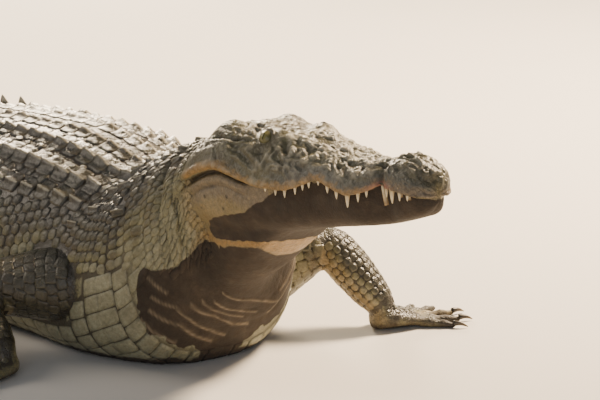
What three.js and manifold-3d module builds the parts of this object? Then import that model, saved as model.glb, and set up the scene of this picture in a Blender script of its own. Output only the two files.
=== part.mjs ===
// A full-grown Nile crocodile, life size, lying on its belly with the head raised.
// Millimetres. +X runs forward along the trunk, +Y to the animal's left and +Z up.
// The origin lies on the flat of the belly, midway between the shoulders and the hips.

import * as THREE from "three";
import { mergeVertices } from "three/addons/utils/BufferGeometryUtils.js";
import Module from "manifold-3d";

const wasm = await Module();
wasm.setup();

// ---------------------------------------------------------------- driving dimensions

const GAP = 0.4; // clearance between solids that lie against each other
const RING_POINTS = 20; // points round the neck, trunk and tail
const RING_STEP = 78; // distance between rings along the trunk
const LIMB_POINTS = 10; // points round a leg
const LIMB_RINGS = 6; // rings along one length of a leg
const DIGIT_POINTS = 6; // points round a toe
const SPIKE_POINTS = 4; // points round a claw or a tooth
const OVERRUN = 0.16; // how far a length of a leg runs on past its joint, as a share of its length

// Where the body is parted, as distances ahead of the origin.
const NECK_FRONT = 847;
const NECK_REAR = 455;
const NECK_RISEN = 640; // from here on the neck is clear of the ground
const CHEST_REAR = 150;
const BELLY_REAR = -230;
const VENT = -600;
const TAIL_FIRST_CUT = -1180;
const TAIL_SECOND_CUT = -1800;
const TAIL_TIP = -2430;

const TAIL_SWAY = 430; // how far the tip of the tail swings to the right
const NECK_SWAY = 30; // how far the back of the head lies to the right of the trunk's middle

// Cross-sections of the body. `lean` is how far the underside lies ahead of the back, `back`
// and `under` are the heights of the two, and `half` is half of the width. An underside below
// zero is pressed flat on the ground.
const BODY = [
  { at: TAIL_TIP, lean: 0, back: 14, under: -2, half: 5 },
  { at: -2340, lean: 0, back: 40, under: -3, half: 13 },
  { at: -2100, lean: 0, back: 78, under: -6, half: 30 },
  { at: -1800, lean: 0, back: 116, under: -9, half: 50 },
  { at: -1500, lean: 0, back: 152, under: -12, half: 74 },
  { at: -1180, lean: 0, back: 190, under: -15, half: 100 },
  { at: -900, lean: 0, back: 226, under: -18, half: 128 },
  { at: -700, lean: 0, back: 260, under: -20, half: 160 },
  { at: VENT, lean: 0, back: 284, under: -22, half: 184 },
  { at: -500, lean: 0, back: 308, under: -24, half: 216 },
  { at: -380, lean: 0, back: 332, under: -28, half: 252 },
  { at: BELLY_REAR, lean: 0, back: 354, under: -30, half: 294 },
  { at: -50, lean: 0, back: 372, under: -34, half: 312 },
  { at: 150, lean: 0, back: 382, under: -34, half: 306 },
  { at: 300, lean: 0, back: 372, under: -34, half: 280 },
  { at: 385, lean: 0, back: 362, under: -34, half: 264 },
  { at: NECK_REAR, lean: 0, back: 374, under: -30, half: 250 },
  { at: 522, lean: 45, back: 408, under: -16, half: 226 },
  { at: 578, lean: 67, back: 430, under: 8, half: 198 },
  { at: 629, lean: 78, back: 444, under: 85, half: 172 },
  { at: 671, lean: 82, back: 456, under: 145, half: 152 },
  { at: 711, lean: 87, back: 460, under: 195, half: 138 },
  { at: 755, lean: 110, back: 452, under: 235, half: 120 },
  { at: 802, lean: 135, back: 436, under: 284, half: 102 },
  { at: NECK_FRONT, lean: 135, back: 420, under: 322, half: 84 },
];
const BACK_SQUARENESS = 2; // 2 is an ellipse, more is squarer
const UNDER_SQUARENESS = 2.7;
const TRUNK_WAIST = 0.35; // where the trunk is widest, as a share of its height
const NECK_WAIST = 0.5;

// The pose of the head: its own origin is at the rear edge of the skull table, level with the teeth.
const HEAD_PLACE = new THREE.Vector3(760, -NECK_SWAY, 400);
const HEAD_YAW = THREE.MathUtils.degToRad(-1.5);
const HEAD_PITCH = THREE.MathUtils.degToRad(9.5);
const HEAD_ROLL = THREE.MathUtils.degToRad(-2.5);

// Cross-sections of the skull, ahead of its own origin: half the width at the lips, half the
// width of the flat roof, the height of the roof, and the height of the wavy line of the lips.
const SKULL = [
  { at: -74, lipHalf: 124, roofHalf: 62, roof: 78, lip: 4 },
  { at: -37, lipHalf: 138, roofHalf: 74, roof: 94, lip: 12 },
  { at: 10, lipHalf: 138, roofHalf: 82, roof: 107, lip: 27 },
  { at: 58, lipHalf: 132, roofHalf: 80, roof: 108, lip: 34 },
  { at: 112, lipHalf: 121, roofHalf: 76, roof: 98, lip: 17 },
  { at: 150, lipHalf: 113, roofHalf: 72, roof: 94, lip: 4 },
  { at: 182, lipHalf: 107, roofHalf: 64, roof: 92, lip: 0 },
  { at: 225, lipHalf: 98, roofHalf: 54, roof: 82, lip: -2 },
  { at: 262, lipHalf: 90, roofHalf: 50, roof: 70, lip: 7 },
  { at: 303, lipHalf: 82, roofHalf: 46, roof: 58, lip: 17 },
  { at: 340, lipHalf: 79, roofHalf: 42, roof: 50, lip: 5 },
  { at: 377, lipHalf: 75, roofHalf: 38, roof: 47, lip: -6 },
  { at: 412, lipHalf: 60, roofHalf: 32, roof: 48, lip: 0 },
  { at: 438, lipHalf: 45, roofHalf: 30, roof: 50, lip: 8 },
  { at: 470, lipHalf: 50, roofHalf: 33, roof: 52, lip: 6 },
  { at: 502, lipHalf: 50, roofHalf: 32, roof: 52, lip: 3 },
  { at: 524, lipHalf: 42, roofHalf: 26, roof: 46, lip: 0 },
  { at: 538, lipHalf: 26, roofHalf: 15, roof: 35, lip: 3 },
  { at: 545, lipHalf: 8, roofHalf: 4, roof: 21, lip: 9 },
];

// Cross-sections of the lower jaw: half the width, and the height of its lower edge.
const JAW = [
  { at: -74, half: 118, edge: -88 },
  { at: 0, half: 130, edge: -97 },
  { at: 90, half: 119, edge: -97 },
  { at: 160, half: 98, edge: -90 },
  { at: 235, half: 82, edge: -81 },
  { at: 305, half: 67, edge: -75 },
  { at: 377, half: 58, edge: -69 },
  { at: 438, half: 34, edge: -62 },
  { at: 470, half: 37, edge: -56 },
  { at: 498, half: 34, edge: -48 },
  { at: 515, half: 25, edge: -38 },
  { at: 526, half: 10, edge: -24 },
];
const SKULL_POINTS = 13; // points over the skull, from lip to lip
const JAW_POINTS = 11; // points round the jaw, from lip to lip
const SKULL_STATIONS = 23; // rings along the skull

// Low domes on the roof of the head: place, radii and height.
const DOMES = [
  { at: 146, side: 54, along: 34, across: 18, height: 14 }, // bony lid over the eye
  { at: 16, side: 68, along: 36, across: 18, height: 18 }, // corner of the table, over the ear
  { at: 478, side: 0, along: 30, across: 26, height: 8 }, // disc of the nostrils
];

const EYE_RADIUS = 17;
const EYE_PLACE = { at: 137, side: 66, height: 83 };

// Teeth of the upper jaw, on each side: place along the lips, and length below them.
const UPPER_TEETH = [
  { at: 176, length: 7 }, { at: 201, length: 11 }, { at: 223, length: 13 },
  { at: 248, length: 13 }, { at: 266, length: 11 }, { at: 281, length: 12 },
  { at: 328, length: 17 }, { at: 352, length: 15 }, { at: 379, length: 24 },
  { at: 399, length: 17 }, { at: 414, length: 11 }, { at: 457, length: 14 },
  { at: 476, length: 26 }, { at: 497, length: 13 }, { at: 514, length: 9 },
];
const TOOTH_ROOT = 6; // how far a tooth runs up into the jaw
const TOOTH_INSET = 4.8; // how far inside the lip the middle of a tooth lies
// The large fourth tooth of the lower jaw stands up and outward in the notch of the snout.
const LOWER_TOOTH = { at: 438, side: 33, height: -22, length: 38, radius: 6, splay: 0.55 };

// The legs' half widths at the top, the bend and the end, and their names.
const FORE = {
  pair: "fore",
  upper: { name: "upper_arm", start: 98, middle: 72, finish: 50 },
  lower: { name: "forearm", start: 50, middle: 49, finish: 39 },
  foot: {
    name: "hand",
    palm: 88,
    breadth: 44,
    depth: 34,
    knuckle: 14,
    digits: [
      { turn: 36, length: 76 },
      { turn: 16, length: 98 },
      { turn: -2, length: 106 },
      { turn: -22, length: 96 },
      { turn: -44, length: 76 },
    ],
    claw: 24,
  },
};
const HIND = {
  pair: "hind",
  upper: { name: "thigh", start: 104, middle: 88, finish: 66 },
  lower: { name: "shank", start: 68, middle: 60, finish: 44 },
  foot: {
    name: "foot",
    palm: 150,
    breadth: 52,
    depth: 40,
    knuckle: 17,
    digits: [
      { turn: 22, length: 96 },
      { turn: 7, length: 124 },
      { turn: -9, length: 132 },
      { turn: -26, length: 112 },
    ],
    claw: 32,
  },
};
const CLAWED_DIGITS = 3; // the inner three toes of every foot carry a claw

// Joints of the legs at the centre of the limb: ahead, to the side, above the ground. The heading
// is how far the middle toe turns outward from straight ahead, in degrees.
const LEGS = [
  {
    kind: FORE,
    flank: "left",
    side: 1,
    top: [462, 190, 112],
    bend: [536, 304, 172],
    end: [645, 366, 46],
    heading: 82,
  },
  {
    kind: FORE,
    flank: "right",
    side: -1,
    top: [410, 190, 142],
    bend: [256, 396, 128],
    end: [436, 402, 48],
    heading: 78,
  },
  {
    kind: HIND,
    flank: "left",
    side: 1,
    top: [-440, 150, 160],
    bend: [-262, 392, 150],
    end: [-452, 448, 54],
    heading: 32,
  },
  {
    kind: HIND,
    flank: "right",
    side: -1,
    top: [-440, 150, 160],
    bend: [-282, 394, 150],
    end: [-476, 436, 54],
    heading: 28,
  },
];

// Upright scutes along the tail: two rows that close up into one.
const CREST_START = -330;
const CREST_JOIN = -1330;
const CREST_END = -2390;
const CREST_STEP = 82;
const CREST_THICKNESS = 14;
const CREST_ROOT = 14; // how deep the foot of a scute lies in the hide

// ---------------------------------------------------------------- materials

const COLOURS = {
  hide: "#77705f",
  belly: "#a39a78",
  horn: "#3d3730",
  eye: "#6b6a35",
};

/** A new material of one of the named colours. */
function material(colour, roughness) {
  return new THREE.MeshStandardMaterial({ color: COLOURS[colour], roughness, metalness: 0 });
}

// ---------------------------------------------------------------- shapes

/** The value of one column of a table at a place, on a smooth curve through its rows. */
function along(table, key, at) {
  const last = table.length - 1;
  const place = THREE.MathUtils.clamp(at, table[0].at, table[last].at);
  let row = 0;
  while (row < last - 1 && place > table[row + 1].at) {
    row += 1;
  }
  const slope = (index) => {
    const before = table[Math.max(index - 1, 0)];
    const after = table[Math.min(index + 1, last)];
    return (after[key] - before[key]) / (after.at - before.at);
  };
  const span = table[row + 1].at - table[row].at;
  const t = (place - table[row].at) / span;
  const from = table[row][key];
  const to = table[row + 1][key];
  const rise = slope(row) * span;
  const fall = slope(row + 1) * span;
  const square = t * t;
  const cube = square * t;
  return (
    from * (2 * cube - 3 * square + 1) +
    rise * (cube - 2 * square + t) +
    to * (3 * square - 2 * cube) +
    fall * (cube - square)
  );
}

/** A closed solid through rings of equal count, stacked forward, each turning from left to up. */
function loft(rings) {
  const count = rings[0].length;
  const points = rings.flat();
  const triangles = [];
  for (let r = 0; r + 1 < rings.length; r += 1) {
    for (let i = 0; i < count; i += 1) {
      const a = r * count + i;
      const b = r * count + ((i + 1) % count);
      triangles.push(a, b, b + count, a, b + count, a + count);
    }
  }
  const middle = (ring) => {
    const sum = ring.reduce((total, point) => total.add(point), new THREE.Vector3());
    return sum.divideScalar(ring.length);
  };
  const rear = points.push(middle(rings[0])) - 1;
  const front = points.push(middle(rings[rings.length - 1])) - 1;
  const offset = (rings.length - 1) * count;
  for (let i = 0; i < count; i += 1) {
    const next = (i + 1) % count;
    triangles.push(rear, next, i, front, offset + i, offset + next);
  }
  const geometry = new THREE.BufferGeometry().setFromPoints(points);
  geometry.setIndex(triangles);
  return geometry;
}

/** A solid for joining and cutting, made from a closed geometry. */
function solid(geometry) {
  const bare = geometry.clone();
  bare.deleteAttribute("normal");
  bare.deleteAttribute("uv");
  const merged = mergeVertices(bare, 1e-4);
  return new wasm.Manifold(
    new wasm.Mesh({
      numProp: 3,
      vertProperties: new Float32Array(merged.attributes.position.array),
      triVerts: new Uint32Array(merged.index.array),
    }),
  );
}

/** A named mesh from a solid or a geometry. */
function node(name, shape, colour, roughness = 0.7) {
  let geometry = shape;
  if (!shape.isBufferGeometry) {
    const mesh = shape.getMesh();
    geometry = new THREE.BufferGeometry();
    geometry.setAttribute("position", new THREE.BufferAttribute(mesh.vertProperties, 3));
    geometry.setIndex(new THREE.BufferAttribute(mesh.triVerts, 1));
  }
  geometry.computeVertexNormals();
  const made = new THREE.Mesh(geometry, material(colour, roughness));
  made.name = name;
  return made;
}

/** Points of a squared ellipse in a section plane, from the left round over the top. */
function ring(centre, left, up, half, rise, drop, count, above = 2, below = above) {
  const points = [];
  for (let i = 0; i < count; i += 1) {
    const angle = (2 * Math.PI * i) / count;
    const c = Math.cos(angle);
    const s = Math.sin(angle);
    const squareness = s > 0 ? above : below;
    const across = half * Math.sign(c) * Math.abs(c) ** (2 / squareness);
    const upward = (s > 0 ? rise : drop) * Math.sign(s) * Math.abs(s) ** (2 / squareness);
    points.push(centre.clone().addScaledVector(left, across).addScaledVector(up, upward));
  }
  return points;
}

/** The same ring, pressed flat where it would reach below the ground. */
function grounded(points) {
  return points.map((point) => point.setZ(Math.max(point.z, 0)));
}

// ---------------------------------------------------------------- neck, trunk and tail

/** How far the spine lies to the left at a place along the body. */
function sway(at) {
  const swing = (t) => (1 - Math.cos(Math.PI * THREE.MathUtils.clamp(t, 0, 1))) / 2;
  const tail = swing((VENT - at) / (VENT - TAIL_TIP));
  const neck = swing((at - CHEST_REAR) / (HEAD_PLACE.x - CHEST_REAR));
  return -TAIL_SWAY * tail - NECK_SWAY * neck;
}

/** The frame of the body's cross-section at a place. */
function bodyFrame(at) {
  const tangent = new THREE.Vector3(2, sway(at + 1) - sway(at - 1), 0).normalize();
  const left = new THREE.Vector3(-tangent.y, tangent.x, 0);
  const lean = along(BODY, "lean", at) / 2;
  const middle = new THREE.Vector3(at, sway(at), 0);
  const back = middle.clone().addScaledVector(tangent, -lean);
  const under = middle.clone().addScaledVector(tangent, lean);
  back.z = along(BODY, "back", at);
  under.z = along(BODY, "under", at);
  const blend = THREE.MathUtils.smoothstep(at, NECK_REAR, NECK_RISEN);
  const waist = THREE.MathUtils.lerp(TRUNK_WAIST, NECK_WAIST, blend);
  const centre = under.clone().lerp(back, waist);
  const rise = back.distanceTo(centre);
  const drop = under.distanceTo(centre);
  const up = back.clone().sub(under).normalize();
  return { centre, left, up, rise, drop, half: along(BODY, "half", at) };
}

/** One ring of the body. */
function bodyRing(at, grow) {
  const { centre, left, up, rise, drop, half } = bodyFrame(at);
  const sizes = [half + grow, rise + grow, drop + grow];
  const squareness = [BACK_SQUARENESS, UNDER_SQUARENESS];
  return grounded(ring(centre, left, up, ...sizes, RING_POINTS, ...squareness));
}

/** The places of the rings of one length of the body. */
function bodyPlaces(rear, front) {
  const steps = Math.max(2, Math.round((front - rear) / RING_STEP));
  return Array.from({ length: steps + 1 }, (_, i) => rear + ((front - rear) * i) / steps);
}

/** A length of the body between two places. */
function bodyLength(rear, front) {
  return loft(bodyPlaces(rear, front).map((at) => bodyRing(at, 0)));
}

/** One upright scute of the tail, leaning back: a thin wedge rooted in the hide. */
function crestScute(at, side, height) {
  const { centre, left, rise, half } = bodyFrame(at);
  const forward = new THREE.Vector3(left.y, -left.x, 0);
  const share = Math.abs(side / half) ** BACK_SQUARENESS;
  const root = centre.clone().addScaledVector(left, side);
  root.z += rise * (1 - share) ** (1 / BACK_SQUARENESS);
  const long = CREST_STEP * 0.5;
  const slices = [
    { ahead: -long * 0.95, top: height },
    { ahead: -long * 0.2, top: height * 0.7 },
    { ahead: long * 0.9, top: 0 },
  ];
  const rings = slices.map(({ ahead, top }) => {
    const foot = root.clone().addScaledVector(forward, ahead);
    const corner = (across, lift) => {
      const point = foot.clone().addScaledVector(left, across);
      point.z += lift;
      return point;
    };
    const half = CREST_THICKNESS / 2;
    return [corner(half, -CREST_ROOT), corner(0, top), corner(-half, -CREST_ROOT)];
  });
  return loft(rings);
}

/** The scutes that stand on one length of the tail, as their places, sides and heights. */
function crestPlaces(rear, front) {
  const places = [];
  for (let at = CREST_START; at > CREST_END; at -= CREST_STEP) {
    const inside = at - CREST_STEP / 2 > rear && at + CREST_STEP / 2 < front;
    const run = (CREST_START - at) / (CREST_START - CREST_END);
    const height = 14 + 34 * Math.sin(Math.PI * Math.min(1, run + 0.12)) ** 0.8;
    const spread = (along(BODY, "half", at) * 0.42 * (at - CREST_JOIN)) / (CREST_START - CREST_JOIN);
    if (inside && at > CREST_JOIN) {
      places.push({ at, side: spread + 4, height }, { at, side: -spread - 4, height });
    } else if (inside) {
      places.push({ at, side: 0, height: height + 8 });
    }
  }
  return places;
}

/** A length of the body with its scutes joined on. */
function crestedLength(rear, front) {
  let shape = solid(bodyLength(rear, front));
  for (const { at, side, height } of crestPlaces(rear, front)) {
    shape = shape.add(solid(crestScute(at, side, height)));
  }
  return shape;
}

// ---------------------------------------------------------------- head

const headPose = new THREE.Euler(HEAD_ROLL, -HEAD_PITCH, HEAD_YAW, "ZYX");
const headMatrix = new THREE.Matrix4().compose(
  HEAD_PLACE,
  new THREE.Quaternion().setFromEuler(headPose),
  new THREE.Vector3(1, 1, 1),
);

/** How much the domes raise the roof of the head at a point. */
function domeHeight(x, y) {
  const one = ({ at, side, along: length, across, height }) => {
    const ahead = (x - at) / length;
    const aside = (Math.abs(y) - side) / across;
    return height * Math.exp(-ahead * ahead - aside * aside);
  };
  return DOMES.map(one).reduce((total, height) => total + height, 0);
}

/** A point on a cubic curve from a corner, up a side and over to the middle. */
function cornerCurve(corner, side, shoulder, middle, t) {
  const curve = new THREE.CubicBezierCurve(corner, side, shoulder, middle);
  return curve.getPoint(t);
}

/** A ring whose open side is closed straight across: from the left lip to the right lip. */
function jawRing(at, curve, count, grow) {
  const points = [];
  for (let i = 0; i < count; i += 1) {
    const t = (2 * i) / (count - 1);
    const mirrored = t > 1;
    const flat = curve(mirrored ? 2 - t : t);
    points.push(new THREE.Vector3(at, (mirrored ? -1 : 1) * (flat.x + grow), flat.y));
  }
  return points;
}

/** One ring of the skull, over the roof from the left lip to the right one. */
function skullRing(at, grow) {
  const half = along(SKULL, "lipHalf", at);
  const shoulder = along(SKULL, "roofHalf", at);
  const roof = along(SKULL, "roof", at) + grow;
  const lip = along(SKULL, "lip", at) - grow;
  const curve = (t) => {
    const flat = cornerCurve(
      new THREE.Vector2(half, lip),
      new THREE.Vector2(half * 1.02, lip + (roof - lip) * 0.6),
      new THREE.Vector2(shoulder, roof + 2),
      new THREE.Vector2(0, roof),
      t,
    );
    flat.y += domeHeight(at, flat.x) * THREE.MathUtils.smoothstep(t, 0.25, 0.6);
    return flat;
  };
  return jawRing(at, curve, SKULL_POINTS, grow);
}

/** One ring of the lower jaw, under the chin from the right lip to the left one. */
function mandibleRing(at, grow) {
  const half = along(JAW, "half", at);
  const edge = along(JAW, "edge", at) - grow;
  const lip = along(SKULL, "lip", at) - GAP + 2 * grow;
  const curve = (t) =>
    cornerCurve(
      new THREE.Vector2(half, lip),
      new THREE.Vector2(half, lip + (edge - lip) * 0.75),
      new THREE.Vector2(half * 0.8, edge),
      new THREE.Vector2(0, edge + 4),
      t,
    );
  return jawRing(at, curve, JAW_POINTS, grow).reverse();
}

/** Places of the rings along a table, closer together towards the tip of the snout. */
function stations(table, count, rearGrow) {
  const rear = table[0].at;
  const front = table[table.length - 1].at;
  const places = [];
  for (let i = 0; i <= count; i += 1) {
    places.push(rear + (front - rear) * Math.sin((Math.PI / 2) * (i / count)) ** 0.9);
  }
  places[0] -= rearGrow;
  return places;
}

/** A slender cone from a root along a direction, bent by a side push at its tip. */
function spike(root, direction, length, radius, push, shares = [0, 0.55, 1]) {
  const toward = direction.clone().normalize();
  const side = new THREE.Vector3(0, 0, 1).cross(toward);
  const left = side.lengthSq() > 1e-6 ? side.normalize() : new THREE.Vector3(0, 1, 0);
  const up = toward.clone().cross(left);
  const rings = shares.map((t) => {
    const centre = root.clone().addScaledVector(toward, length * t).addScaledVector(push, t * t);
    const wide = radius * (1 - 0.9 * t ** 1.5);
    return ring(centre, left, up, wide, wide, wide, SPIKE_POINTS);
  });
  return loft(rings);
}

/** The skull with its teeth, with sockets cut for the eyes. */
function skullShape(places) {
  let shape = solid(loft(places.map((at) => skullRing(at, 0))));
  for (const { at, length } of UPPER_TEETH) {
    const lip = along(SKULL, "lip", at);
    const half = along(SKULL, "lipHalf", at);
    for (const side of [1, -1]) {
      const root = new THREE.Vector3(at, side * (half - TOOTH_INSET), lip + TOOTH_ROOT);
      const down = new THREE.Vector3(0, side * 0.05, -1);
      const radius = 3 + length * 0.11;
      const tooth = spike(root, down, length + TOOTH_ROOT, radius, new THREE.Vector3(), [0, 1]);
      shape = shape.add(solid(tooth));
    }
  }
  for (const side of [1, -1]) {
    shape = shape.subtract(solid(eyeball(side, GAP))).subtract(solid(lowerTooth(side, GAP)));
  }
  return shape;
}

/** The large tooth of the lower jaw on one side. */
function lowerTooth(side, grow) {
  const { at, height, length, radius, splay } = LOWER_TOOTH;
  const root = new THREE.Vector3(at, side * LOWER_TOOTH.side, height);
  const rise = new THREE.Vector3(0, side * splay, 1);
  return spike(root, rise, length + grow, radius + grow, new THREE.Vector3(), [0, 1]);
}

/** The lower jaw with its two large front teeth. */
function mandibleShape(places) {
  const jaw = solid(loft(places.map((at) => mandibleRing(at, 0))));
  return jaw.add(solid(lowerTooth(1, 0))).add(solid(lowerTooth(-1, 0)));
}

/** One eyeball. */
function eyeball(side, grow) {
  const ball = new THREE.SphereGeometry(EYE_RADIUS + grow, 12, 6);
  ball.translate(EYE_PLACE.at, side * EYE_PLACE.side, EYE_PLACE.height);
  return ball;
}

// ---------------------------------------------------------------- legs

/** A rounded length of a leg between two joints, thickest as its three half widths say. */
function legLength(start, finish, widths, grow, lead) {
  const rings = [];
  const run = finish.clone().sub(start);
  const forward = run.clone().normalize();
  const left = new THREE.Vector3(0, 0, 1).cross(forward).normalize();
  const up = forward.clone().cross(left);
  for (let i = 0; i <= LIMB_RINGS; i += 1) {
    const t = 0.5 - 0.5 * Math.cos((Math.PI * (i + 0.35)) / (LIMB_RINGS + 0.7));
    const place = -lead + t * (1 + lead + OVERRUN);
    const blend = THREE.MathUtils.clamp(place, 0, 1);
    const swell = widths.middle - (widths.start + widths.finish) / 2;
    const base = widths.start + (widths.finish - widths.start) * blend;
    const round = Math.sqrt(1 - Math.abs(2 * t - 1) ** 4);
    const half = (base + swell * Math.sin(Math.PI * blend)) * round + grow;
    const centre = start.clone().addScaledVector(run, place);
    rings.push(ring(centre, left, up, half, half * 0.92, half * 0.92, LIMB_POINTS));
  }
  return loft(rings);
}

/** The heel or wrist and the palm, in the foot's own frame: +X along the middle toe. */
function palmShape(foot) {
  const rings = [];
  const steps = 5;
  for (let i = 0; i <= steps; i += 1) {
    const t = i / steps;
    const round = Math.sqrt(1 - Math.abs(2 * t - 1) ** 5) * 0.9 + 0.1;
    const depth = THREE.MathUtils.lerp(foot.depth, foot.knuckle, t ** 0.8) * round;
    const breadth = THREE.MathUtils.lerp(foot.breadth * 0.86, foot.breadth * 1.12, t) * round;
    const centre = new THREE.Vector3(-0.3 * foot.palm + 1.25 * foot.palm * t, 0, depth * 0.92);
    const left = new THREE.Vector3(0, 1, 0);
    const up = new THREE.Vector3(0, 0, 1);
    rings.push(grounded(ring(centre, left, up, breadth, depth, depth, LIMB_POINTS)));
  }
  return loft(rings);
}

/** Where a toe starts, which way it points and where its claw is rooted. */
function digitLine(foot, index, side) {
  const { turn, length } = foot.digits[index];
  const angle = THREE.MathUtils.degToRad(-side * turn);
  const direction = new THREE.Vector3(Math.cos(angle), Math.sin(angle), 0);
  const spread = (foot.breadth * 1.7) / foot.digits.length;
  const across = -side * ((foot.digits.length - 1) / 2 - index) * spread;
  const start = new THREE.Vector3(foot.palm * 0.78, across, foot.knuckle * 0.8);
  const tip = start.clone().addScaledVector(direction, length);
  return { start, tip, direction, length };
}

/** One toe, tapering to a blunt end and lying flat on the ground. */
function digitShape(foot, index, side) {
  const { start, direction, length } = digitLine(foot, index, side);
  const left = new THREE.Vector3(-direction.y, direction.x, 0);
  const up = new THREE.Vector3(0, 0, 1);
  const rings = [0, 0.86, 1].map((t) => {
    const half = foot.knuckle * (1 - 0.36 * t) * (t === 1 ? 0.6 : 1);
    const centre = start.clone().addScaledVector(direction, length * t).setZ(half * 0.85);
    return grounded(ring(centre, left, up, half, half, half, DIGIT_POINTS));
  });
  return loft(rings);
}

/** One claw, rooted in the end of a toe and curving down to the ground. */
function clawShape(foot, index, side, grow) {
  const { tip, direction } = digitLine(foot, index, side);
  const radius = foot.knuckle * 0.4;
  const root = tip.clone().addScaledVector(direction, -6 - grow).setZ(radius + 3.5);
  const push = new THREE.Vector3(0, 0, 1.5 - root.z);
  return spike(root, direction, foot.claw + 6 + 2 * grow, radius + grow, push);
}

/** The nodes of one leg, with each length cut clear of the one above it. */
function legNodes(leg, trunk) {
  const { kind, flank, side } = leg;
  const point = ([x, y, z]) => new THREE.Vector3(x, y * side, z);
  const top = point(leg.top);
  const bend = point(leg.bend);
  const end = point(leg.end);
  const upper = solid(legLength(top, bend, kind.upper, 0, OVERRUN));
  const upperRoom = solid(legLength(top, bend, kind.upper, GAP, OVERRUN));
  const lower = solid(legLength(bend, end, kind.lower, 0, 0));
  const lowerRoom = legLength(bend, end, kind.lower, GAP, 0);
  const nodes = [
    node(`${flank}_${kind.upper.name}`, upper.subtract(trunk), "hide"),
    node(`${flank}_${kind.lower.name}`, lower.subtract(upperRoom).subtract(trunk), "hide"),
  ];

  const group = new THREE.Group();
  group.position.set(end.x, end.y, 0);
  group.rotation.z = THREE.MathUtils.degToRad(side * leg.heading);
  group.updateMatrix();
  let foot = solid(palmShape(kind.foot));
  kind.foot.digits.forEach((_, index) => {
    foot = foot.add(solid(digitShape(kind.foot, index, side)));
  });
  foot = foot.subtract(solid(lowerRoom.applyMatrix4(group.matrix.clone().invert())));
  for (let index = 0; index < CLAWED_DIGITS; index += 1) {
    const claw = clawShape(kind.foot, index, side, 0);
    foot = foot.subtract(solid(clawShape(kind.foot, index, side, GAP)));
    group.add(node(`${flank}_${kind.pair}_claw_${index + 1}`, claw, "horn", 0.4));
  }
  group.add(node(`${flank}_${kind.foot.name}`, foot, "hide"));
  return [...nodes, group];
}

// ---------------------------------------------------------------- assembly

const crocodile = new THREE.Group();
crocodile.name = "crocodile";

const skullPlaces = stations(SKULL, SKULL_STATIONS, 0);
const jawPlaces = skullPlaces.filter((at) => at <= JAW[JAW.length - 1].at);
const head = new THREE.Group();
head.position.copy(HEAD_PLACE);
head.rotation.copy(headPose);
head.add(
  node("head", skullShape(skullPlaces), "hide"),
  node("lower_jaw", mandibleShape(jawPlaces), "hide"),
  node("left_eye", eyeball(1, 0), "eye", 0.1),
  node("right_eye", eyeball(-1, 0), "eye", 0.1),
);

const grownSkull = loft(stations(SKULL, SKULL_STATIONS, GAP).map((at) => skullRing(at, GAP)));
const grownJaw = loft(stations(JAW, SKULL_STATIONS, GAP).map((at) => mandibleRing(at, GAP)));
const neck = solid(bodyLength(NECK_REAR, NECK_FRONT))
  .subtract(solid(grownSkull.applyMatrix4(headMatrix)))
  .subtract(solid(grownJaw.applyMatrix4(headMatrix)));

crocodile.add(
  head,
  node("neck", neck, "belly"),
  node("chest", bodyLength(CHEST_REAR, NECK_REAR - GAP), "belly"),
  node("belly", bodyLength(BELLY_REAR, CHEST_REAR - GAP), "belly"),
  node("pelvis", crestedLength(VENT, BELLY_REAR - GAP), "hide"),
  node("tail_base", crestedLength(TAIL_FIRST_CUT, VENT - GAP), "hide"),
  node("tail_middle", crestedLength(TAIL_SECOND_CUT, TAIL_FIRST_CUT - GAP), "hide"),
  node("tail_end", crestedLength(TAIL_TIP, TAIL_SECOND_CUT - GAP), "hide"),
);

// The trunk and neck once more, a little larger, to cut the tops of the legs clear of them.
const lengths = [
  [TAIL_FIRST_CUT, VENT - GAP],
  [VENT, BELLY_REAR - GAP],
  [BELLY_REAR, CHEST_REAR - GAP],
  [CHEST_REAR, NECK_REAR - GAP],
  [NECK_REAR, NECK_FRONT],
];
const grownPlaces = lengths.flatMap(([rear, front]) => bodyPlaces(rear, front));
const grownTrunk = solid(loft(grownPlaces.map((at) => bodyRing(at, 1.5 * GAP))));
for (const leg of LEGS) {
  crocodile.add(...legNodes(leg, grownTrunk));
}

export default crocodile;
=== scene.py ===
"""A life-size still model of a Nile crocodile at rest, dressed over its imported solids.

Everything is worked out in millimetres, with X ahead, Y to the left and Z up, and is turned into
metres only where a mesh is made. One skin covers all flesh. Horny scales, the crest of the tail,
teeth, eyes and claws are pieces of their own on it.
"""

import logging
import math
from collections.abc import Callable
from dataclasses import dataclass, field
from enum import Enum
from functools import partial

import bpy
import numpy as np
from mathutils import Euler, Matrix, Vector
from mathutils.bvhtree import BVHTree
from mathutils.kdtree import KDTree


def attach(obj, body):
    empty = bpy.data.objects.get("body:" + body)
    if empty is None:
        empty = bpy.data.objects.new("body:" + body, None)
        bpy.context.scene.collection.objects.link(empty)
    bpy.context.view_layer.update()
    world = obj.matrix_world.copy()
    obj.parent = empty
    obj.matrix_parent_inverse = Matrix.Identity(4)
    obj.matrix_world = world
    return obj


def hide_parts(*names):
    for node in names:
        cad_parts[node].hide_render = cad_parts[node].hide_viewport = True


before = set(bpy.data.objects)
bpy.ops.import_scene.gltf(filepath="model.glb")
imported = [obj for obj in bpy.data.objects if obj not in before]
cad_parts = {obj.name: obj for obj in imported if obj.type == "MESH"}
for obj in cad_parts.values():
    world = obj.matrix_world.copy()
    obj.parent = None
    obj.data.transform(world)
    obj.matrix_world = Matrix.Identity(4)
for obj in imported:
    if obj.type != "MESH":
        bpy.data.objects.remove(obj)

LOG = logging.getLogger("crocodile")
Array = np.ndarray
Shape = tuple[Array, list[Array]]  # points, and groups of faces with the numbers of their corners

MM = 0.001
SIDES = (1, -1)  # the animal's left, then its right
UV_MAP = "OFBake"
LOWEST_SCALE = 3  # millimetres above the floor
PATCH = 0.0015  # half the breadth of one scale's patch on the bake map
STEPS_PER_MM = 20  # how finely the points of two meshes are told apart
KEY_SPAN = 1 << 18  # more steps than any two places are apart


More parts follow.
